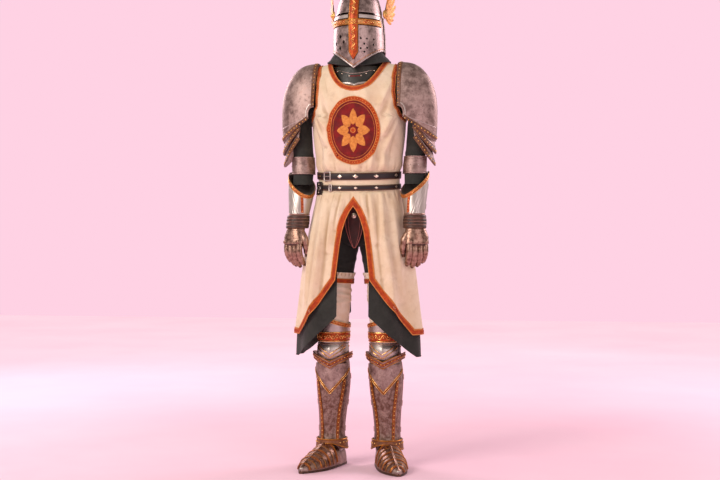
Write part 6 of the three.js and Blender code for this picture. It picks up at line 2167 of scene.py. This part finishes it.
@dataclass
class Leg(Harness):
    """One leg: cuisse, poleyn, collar, greave with its straps, ankle strap and sabaton."""

    def build(self) -> None:
        """Make the whole leg."""
        self.cuisse()
        self.poleyn()
        self.collar()
        self.greave()
        self.ankle()
        self.sabaton()

    def cuisse(self) -> None:
        """The thigh plate above the knee: slanting trimmed top and an ornamented lower band."""
        surface = limb(CUISSE)
        shaped = between(surface, 472.0, lambda a: 560.0 + 19.0 * np.sin(a))
        us, vs = mesh_grid(ring_angles(110), np.linspace(0, 1, 34))
        self.put("cuisse_plate", wall(shaped(us, vs), self.plate, -self.plate, True), Finish.BRIGHT,
            Slot.BRIGHT, ["cuisse"], bevel=0.5)
        angles = np.linspace(-180, 180, 96, endpoint=False)
        top = Line(surface, np.array([(math.radians(a), 553.0 + 19.0 * math.sin(math.radians(a)))
            for a in angles]), True).even(5.0)
        band = level(surface, 494.0).even(5.0)
        narrow = flat_band(6, 1.1, 1.8)
        broad = flat_band(15, 1.1, 1.7)
        self.put("cuisse_trims", [top.strip(narrow), band.strip(broad)], Finish.ENAMEL, Slot.ORNAMENT)
        rims = [top.moved(at).cord(1.6, 1.8, 0.8) for at in (-6.2, 6.2)]
        rims += [band.moved(at).cord(2.6, 2.4, 0.8) for at in (-16.5, 16.5)]
        self.put("cuisse_rims", rims, Finish.GOLD, Slot.GILT)
        scroll = [band.vine(8.0, 34.0, 1.7, 1.3), top.vine(2.6, 18.0, 1.0, 1.4)]
        self.put("cuisse_scroll", scroll, Finish.GOLD, Slot.GILT)

    def poleyn(self) -> None:
        """The knee plate: domed, with a gilt-edged chevron and side rivets."""
        surface = limb(POLEYN)
        shaped = between(surface, lambda a: 409.0 + 8.0 * np.abs(np.sin(a)), 471.0)
        us, vs = mesh_grid(np.radians(np.linspace(-112, 112, 100)), np.linspace(0, 1, 40))
        turned = np.degrees(us)
        ridge = 2.2 * np.exp(-((turned / 9.0) ** 2)) * np.sin(vs * math.pi) ** 0.8
        dish = -0.8 * np.exp(-(((np.abs(turned) - 24.0) / 12.0) ** 2)) * np.sin(vs * math.pi)
        self.put("poleyn_plate", wall(shaped(us, vs), self.plate, ridge + dish - self.plate),
            Finish.BRIGHT, Slot.BRIGHT, ["poleyn"], bevel=0.5)
        chevrons = []
        for drop, reach in ((0.0, 62.0), (14.0, 50.0)):
            places = [(a, 416.0 + drop + abs(a) / 62.0 * 40.0) for a in np.linspace(-reach, reach, 41)]
            chevrons.append(along(surface, *places).even(4.0).cord(1.8, 2.6, 0.0))
        self.put("poleyn_chevrons", chevrons, Finish.GOLD, Slot.GILT)
        edge = [along(surface, *[(a, 467.0) for a in np.linspace(-111, 111, 60)]).even(4.0).cord(2.2, 2.2,
            -0.2)]
        edge.append(along(surface, *[(a, 412.0 + 8.0 * abs(math.sin(math.radians(a))))
            for a in np.linspace(-111, 111, 60)]).even(4.0).cord(2.0, 2.0, -0.2))
        self.put("poleyn_rims", edge, Finish.STEEL, Slot.STEEL)
        line = along(surface, (-90, 440), (90, 440))
        rivets = [dome(line, np.array([math.radians(a), z]), 3.6, 3.0, 0.0, 16) for a in (-92, 92)
            for z in (428, 456)]
        self.put("poleyn_rivets", rivets, Finish.GOLD, Slot.GILT)

    def collar(self) -> None:
        """The winged collar at the top of the greave: dark with an orange chevron."""
        surface = limb(GREAVE_COLLAR)

        def low(a: np.ndarray) -> np.ndarray:
            """The collar's lower edge, higher at the sides."""
            return 374.0 + 38.0 * np.abs(np.sin(a))

        def high(a: np.ndarray) -> np.ndarray:
            """The collar's upper edge, higher at the sides."""
            return 403.0 + 33.0 * np.abs(np.sin(a))

        shaped = between(surface, low, high)
        us, vs = mesh_grid(np.radians(np.linspace(-120, 120, 121)), np.linspace(0, 1, 16))
        self.put("collar_plate", wall(shaped(us, vs), self.plate, -self.plate), Finish.STEEL, Slot.STEEL,
            ["greave_collar"], bevel=0.5)
        angles = np.linspace(-118, 118, 91)
        middle = Line(shaped, np.array([(math.radians(a), 0.5) for a in angles])).even(4.0)
        self.put("collar_trim", middle.strip(flat_band(5.5, 1.2, 1.8)), Finish.BRONZE, Slot.ORNAMENT)
        rims = [Line(shaped, np.array([(math.radians(a), part) for a in angles])).even(4.0).cord(2.0, 2.0,
            -0.2) for part in (0.07, 0.93)]
        self.put("collar_rims", rims, Finish.GILT, Slot.GILT)
        self.put("collar_studs", middle.studs(15.0, 2.4, 2.0, 1.6), Finish.GOLD, Slot.GILT)

    def greave(self) -> None:
        """The shin plate: a pointed top panel with trimmed edges and two riveted straps."""
        surface = limb(GREAVE)
        shaped = between(surface, lambda a: 92.0 + 10.0 * np.maximum(0.0, np.cos(a)), 403.0)
        us, vs = mesh_grid(ring_angles(120), np.linspace(0, 1, 84))
        z = 92 + 311 * vs
        turned = np.degrees(us)
        shin = 2.6 * np.exp(-((turned / 7.5) ** 2)) * smoothstep(z, 92.0, 150.0) * smoothstep(403.0 - z,
            0.0, 40.0)
        calf = 1.6 * np.exp(-(((np.abs(turned) - 150.0) / 16.0) ** 2)) * np.exp(-(((z - 300) / 60) ** 2))
        flute = -1.0 * np.exp(-(((np.abs(turned) - 22.0) / 5.0) ** 2)) * smoothstep(z, 100.0, 160.0)
        relief = (shin + calf + flute) * smoothstep(384.0 - z, 0.0, 16.0)
        self.put("greave_plate", wall(shaped(us, vs), self.plate, relief - self.plate, True),
            Finish.MOTTLED, Slot.STEEL, ["greave"], bevel=0.4)
        tip = [(-78, 372.0), (-40, 333.0), (0, 281.0), (40, 333.0), (78, 372.0)]
        angles = np.linspace(-78, 78, 61)
        heights = np.interp(angles, [row[0] for row in tip], [row[1] for row in tip])
        chevron = along(surface, *zip(angles, heights)).even(4.0)
        inside = np.linspace(0, 1, 10)
        panel_places = np.array([[(math.radians(a), h + (392.0 - h) * part) for part in inside]
            for a, h in zip(angles, heights)])
        panel = wall(surface(panel_places[..., 0], panel_places[..., 1]), 1.6, 2.2)
        self.put("greave_panel", panel, Finish.STEEL, Slot.STEEL, bevel=0.4)
        self.put("greave_panel_trim", chevron.strip([(-3, 0.5), (-3, 4.2), (-2, 4.9), (3.5, 4.9),
            (4.5, 4.2), (4.5, 0.5)]), Finish.BRONZE, Slot.ORNAMENT)
        self.put("greave_panel_edge", [chevron.moved(at).cord(1.2, 1.4, 4.3) for at in (-2.4, 4.0)],
            Finish.GOLD, Slot.GILT)
        straps, studs, edges = [], [], []
        for sign in (-1, 1):
            path = along(surface, (sign * 34, 96), (sign * 38, 210), (sign * 50, 332)).even(5.0)
            straps.append(path.strip(flat_band(5.5, 2.4, 3.2)))
            edges += [path.moved(at).cord(0.9, 1.0, 2.8) for at in (-4.6, 4.6)]
            studs.append(path.studs(15.5, 2.6, 2.2, 3.0))
        self.put("greave_straps", straps, Finish.BRONZE, Slot.ORNAMENT)
        self.put("greave_strap_edges", edges, Finish.GILT, Slot.GILT)
        self.put("greave_studs", studs, Finish.GOLD, Slot.GILT)
        seams = [along(surface, (sign * 92, 110), (sign * 92, 396)).even(6.0) for sign in (-1, 1)]
        ribs = [seam.strip([(-3.5, -0.3), (-3.5, 0.8), (0, 1.4), (3.5, 0.8), (3.5, -0.3)]) for seam in seams]
        hinges = [along(surface, (sign * 92, h - 10), (sign * 92, h + 10)).even(3.0).cord(4.0, 4.0, -0.2)
            for sign in (-1, 1) for h in (140, 240, 340)]
        self.put("greave_seams", ribs + hinges, Finish.STEEL, Slot.STEEL)
        back = [along(surface, (180, h - 6), (180, h + 6)) for h in (150, 230, 310)]
        buckles = [level(surface, h, 26, 180).even(4.0).strip(flat_band(6, 2.0, 2.8))
            for h in (150, 230, 310)]
        self.put("greave_back_straps", buckles, Finish.LEATHER, Slot.LEATHER)
        frames = [blob(line.point(line.places[0] + np.array([0.0, 6.0])) + np.array([0, 2.0, 0]),
            (0, 1, 0), 7.5, 3.4, 20) for line in back]
        self.put("greave_back_buttons", frames, Finish.GILT, Slot.GILT)

    def ankle(self) -> None:
        """The layered gilt-brown band round the ankle."""
        surface = limb(ANKLE_STRAP)
        shaped = between(surface, lambda a: 63.0 + 24.0 * np.maximum(0.0, np.cos(a)) ** 2, 106.0)
        us, vs = mesh_grid(ring_angles(120), np.linspace(0, 1, 14))
        self.put("ankle_leather", wall(shaped(us, vs), 3.0, -3.0, True), Finish.TAN, Slot.LEATHER,
            ["ankle_strap"], bevel=0.5)
        high = level(surface, 102.5).even(4.0)
        rims = [high.cord(2.4, 2.6, -0.2)]
        angles = np.linspace(-180, 180, 96, endpoint=False)
        low = Line(shaped, np.array([(math.radians(a), 0.1) for a in angles]), True).even(4.0)
        rims.append(low.cord(2.0, 2.2, -0.2))
        self.put("ankle_rims", rims, Finish.GILT, Slot.GILT)
        self.put("ankle_studs", level(surface, 91.0, 145, 180).studs(17, 3.0, 2.4, 0.0), Finish.GOLD,
            Slot.GILT)

    def sabaton(self) -> None:
        """The pointed sabaton: hollow shoe, overlapping lames with trimmed edges, ridge and sole."""
        far = np.concatenate([np.linspace(-62, -40, 8), np.linspace(-34, 228, 52), [232]])
        sides = np.radians(np.linspace(0, 180, 31))
        shoe = self.put("sabaton_shoe", self.shell(far, sides, 0.0, 0.0), Finish.STEEL, Slot.STEEL)
        collar = table("z x y wide deep", (60, 107, 8, 44, 44), (118, 107, 8, 43, 43))
        us, vs = mesh_grid(ring_angles(48), np.linspace(60, 118, 8))
        ring = limb(collar)(us, vs)
        combine(shoe, tube(ring.transpose(1, 0, 2)).on(self.side), "UNION")
        combine(shoe, self.shell(far, sides, 2.4, 5.0).on(self.side))
        middle = ring.mean(axis=(0, 1))
        inner = middle + (ring - middle) * np.array([0.94, 0.94, 1.1])
        combine(shoe, tube(inner.transpose(1, 0, 2)).on(self.side))
        own(shoe, Body.SUIT, Slot.STEEL, [f"sabaton_{self.side.word}"])
        edges = (24, 52, 80, 108, 134, 158, 182, 206)
        plates, trims, rims = [], [], []
        for k, (low, high) in enumerate(zip(edges[:-1], edges[1:])):
            turns, ways = mesh_grid(np.radians(np.linspace(3, 177, 46)), np.linspace(low - 6, high + 4, 12))
            grid = foot_point(turns, ways)
            rise = 0.4 + 2.0 * np.linspace(0, 1, 12)
            plates.append(wall(grid, 1.4, np.broadcast_to(rise, grid.shape[:2])))
            arch = np.radians(np.linspace(6, 174, 50))
            line = Line(foot_point, np.stack([arch, np.full_like(arch, high - 0.5)], -1)).even(4.0)
            if k in (0, 2, 4, 6):
                trims.append(line.strip(flat_band(4.5, 4.3, 5.0, 0.5)))
            rims.append(line.moved(0.0).cord(1.5, 1.5, 3.4 if k % 2 else 4.8))
        self.put("sabaton_lames", plates, Finish.AGED, Slot.STEEL, bevel=0.3)
        self.put("sabaton_trims", trims, Finish.BRONZE, Slot.ORNAMENT)
        self.put("sabaton_rims", rims, Finish.GILT, Slot.GILT)
        ridge = Line(foot_point, np.array([(math.radians(90), w)
            for w in np.linspace(30, 228, 50)])).even(4.0)
        self.put("sabaton_ridge", ridge.strip([(-4, 0.5), (-4, 4.4), (0, 6.6), (4, 4.4), (4, 0.5)]),
            Finish.AGED, Slot.STEEL)
        # painted highlight: a knob of bright steel at the toe's tip stands in for the highlight there
        toe = blob(foot_point(np.array(math.radians(90)), np.array(226.0)) - np.array([0, 0, 4]),
            (0.3, -0.9, 0.3), 8, 6, 16)
        self.put("sabaton_toe", toe, Finish.BRIGHT, Slot.STEEL)
        outline = [(0.0, w) for w in np.linspace(-60, 230, 60)] + [(math.pi, w)
            for w in np.linspace(230, -60, 60)]
        flat = np.array([foot_point(np.array(t), np.array(w)) for t, w in outline])
        middle = flat.mean(axis=0)
        away = unit((flat - middle) * np.array([1.0, 1.0, 0.0])) * 2.2
        sole = tube(np.array([np.concatenate([(flat + away)[:, :2], np.full((len(flat), 1), h)], axis=1)
            for h in (0.0, 1.0, 7.0, 8.5)]))
        self.put("sabaton_sole", sole, Finish.LEATHER, Slot.LEATHER, bevel=0.5)

    def shell(self, far: np.ndarray, sides: np.ndarray, inset: float, floor: float) -> Shape:
        """The shoe's closed form, moved in by inset, standing on a floor height."""
        rings = []
        for way in far:
            half = max(float(read(SABATON, "half", np.array(way), "along")) - inset, 1.2)
            arch = foot_point(sides, np.full_like(sides, way))
            middle = arch[[0, -1]].mean(axis=0)
            scale = half / max(half + inset, 1.2)
            arch = middle + (arch - middle) * np.array([scale, scale, 1.0])
            arch[:, 2] = np.maximum(arch[:, 2] - inset * np.sin(sides), 8.0)
            bottom = middle + (arch[[-1, 0]] - middle) * 0.94
            bottom[:, 2] = floor
            rings.append(np.concatenate([arch, bottom]))
        return tube(np.array(rings))


# ---------------------------------------------------------------- stage


@dataclass
class Studio:
    """A pale floor, soft lights all round and a long lens at chest height."""

    distance: float = 4.9
    height: float = 0.86
    lens: float = 64.5
    turn: float = 10.0
    world: str = "#FFD2E4"
    aim: tuple[float, float, float] = (0.0, 0.0, 0.95)
    floor_half: float = 9000.0
    floor_z: float = -0.4
    lamps: tuple[tuple, ...] = (("key", (-2.6, -3.6, 3.3), 2.4, 145.0, "#FFF6F0"),
        ("fill", (3.2, -2.8, 2.0), 2.4, 34.0, "#FFEFF6"),
        ("rim_left", (-2.8, 2.6, 2.6), 1.8, 70.0, "#FFE8F2"),
        ("rim_right", (2.8, 2.6, 2.6), 1.8, 70.0, "#FFE8F2"))

    def light(self, name: str, place_at: Sequence[float], size: float, watts: float, tint: str) -> None:
        """A square soft light that looks at the suit's middle."""
        lamp = bpy.data.lights.new(name, "AREA")
        lamp.size, lamp.energy = size, watts
        lamp.color = linear(tint)[:3]
        thing = bpy.data.objects.new(name, lamp)
        bpy.context.scene.collection.objects.link(thing)
        away = np.array(place_at) - np.array(self.aim)
        thing.location = place_at
        flat = math.hypot(away[0], away[1])
        thing.rotation_euler = (math.atan2(flat, away[2]), 0.0, math.atan2(away[0], -away[1]))

    def build(self) -> None:
        """Make the floor, the lights, the world and the camera."""
        uv = [(0.0, 0.0), (1.0, 0.0), (1.0, 1.0), (0.0, 1.0)]
        corners = np.array([((2 * u - 1) * self.floor_half, (2 * v - 1) * self.floor_half, self.floor_z)
            for u, v in uv])
        floor = place("studio_floor", Shape(corners, [[0, 1, 2, 3]], [uv]), Finish.FLOOR)
        for lamp in self.lamps:
            self.light(*lamp)
        world = bpy.data.worlds.new("pale_world")
        world.use_nodes = True
        tree = world.node_tree
        ground = tree.nodes["Background"]
        ground.inputs["Color"].default_value = linear("#FFF1EC")
        ground.inputs["Strength"].default_value = 0.48
        seen = tree.nodes.new("ShaderNodeBackground")
        seen.inputs["Color"].default_value = linear(self.world)
        path, mix = tree.nodes.new("ShaderNodeLightPath"), tree.nodes.new("ShaderNodeMixShader")
        tree.links.new(path.outputs["Is Camera Ray"], mix.inputs["Fac"])
        tree.links.new(ground.outputs["Background"], mix.inputs[1])
        tree.links.new(seen.outputs["Background"], mix.inputs[2])
        tree.links.new(mix.outputs["Shader"], tree.nodes["World Output"].inputs["Surface"])
        bpy.context.scene.world = world
        bpy.context.scene.view_settings.view_transform = "Standard"
        camera = bpy.data.cameras.new("camera")
        camera.lens, camera.sensor_width = self.lens, 36.0
        camera.shift_x = 0.0025
        camera.dof.use_dof = False
        thing = bpy.data.objects.new("camera", camera)
        bpy.context.scene.collection.objects.link(thing)
        way = math.radians(self.turn)
        thing.location = (math.sin(way) * self.distance, -math.cos(way) * self.distance, self.height)
        thing.rotation_euler = (math.radians(90), 0.0, way)
        bpy.context.scene.camera = thing


def main() -> None:
    """Build the suit and its stage."""
    logging.basicConfig(level=logging.INFO, format="%(name)s: %(message)s")
    for name in ("Cube", "Light", "Camera"):
        if name in bpy.data.objects:
            bpy.data.objects.remove(bpy.data.objects[name])
    GreatHelm().build()
    Neck().build()
    Surcoat().build()
    Belts().build()
    LowerCloth().build()
    for side in Side:
        Arm(side).build()
        Leg(side).build()
    Studio().build()
    bpy.context.view_layer.update()


if __name__ == "__main__":
    main()
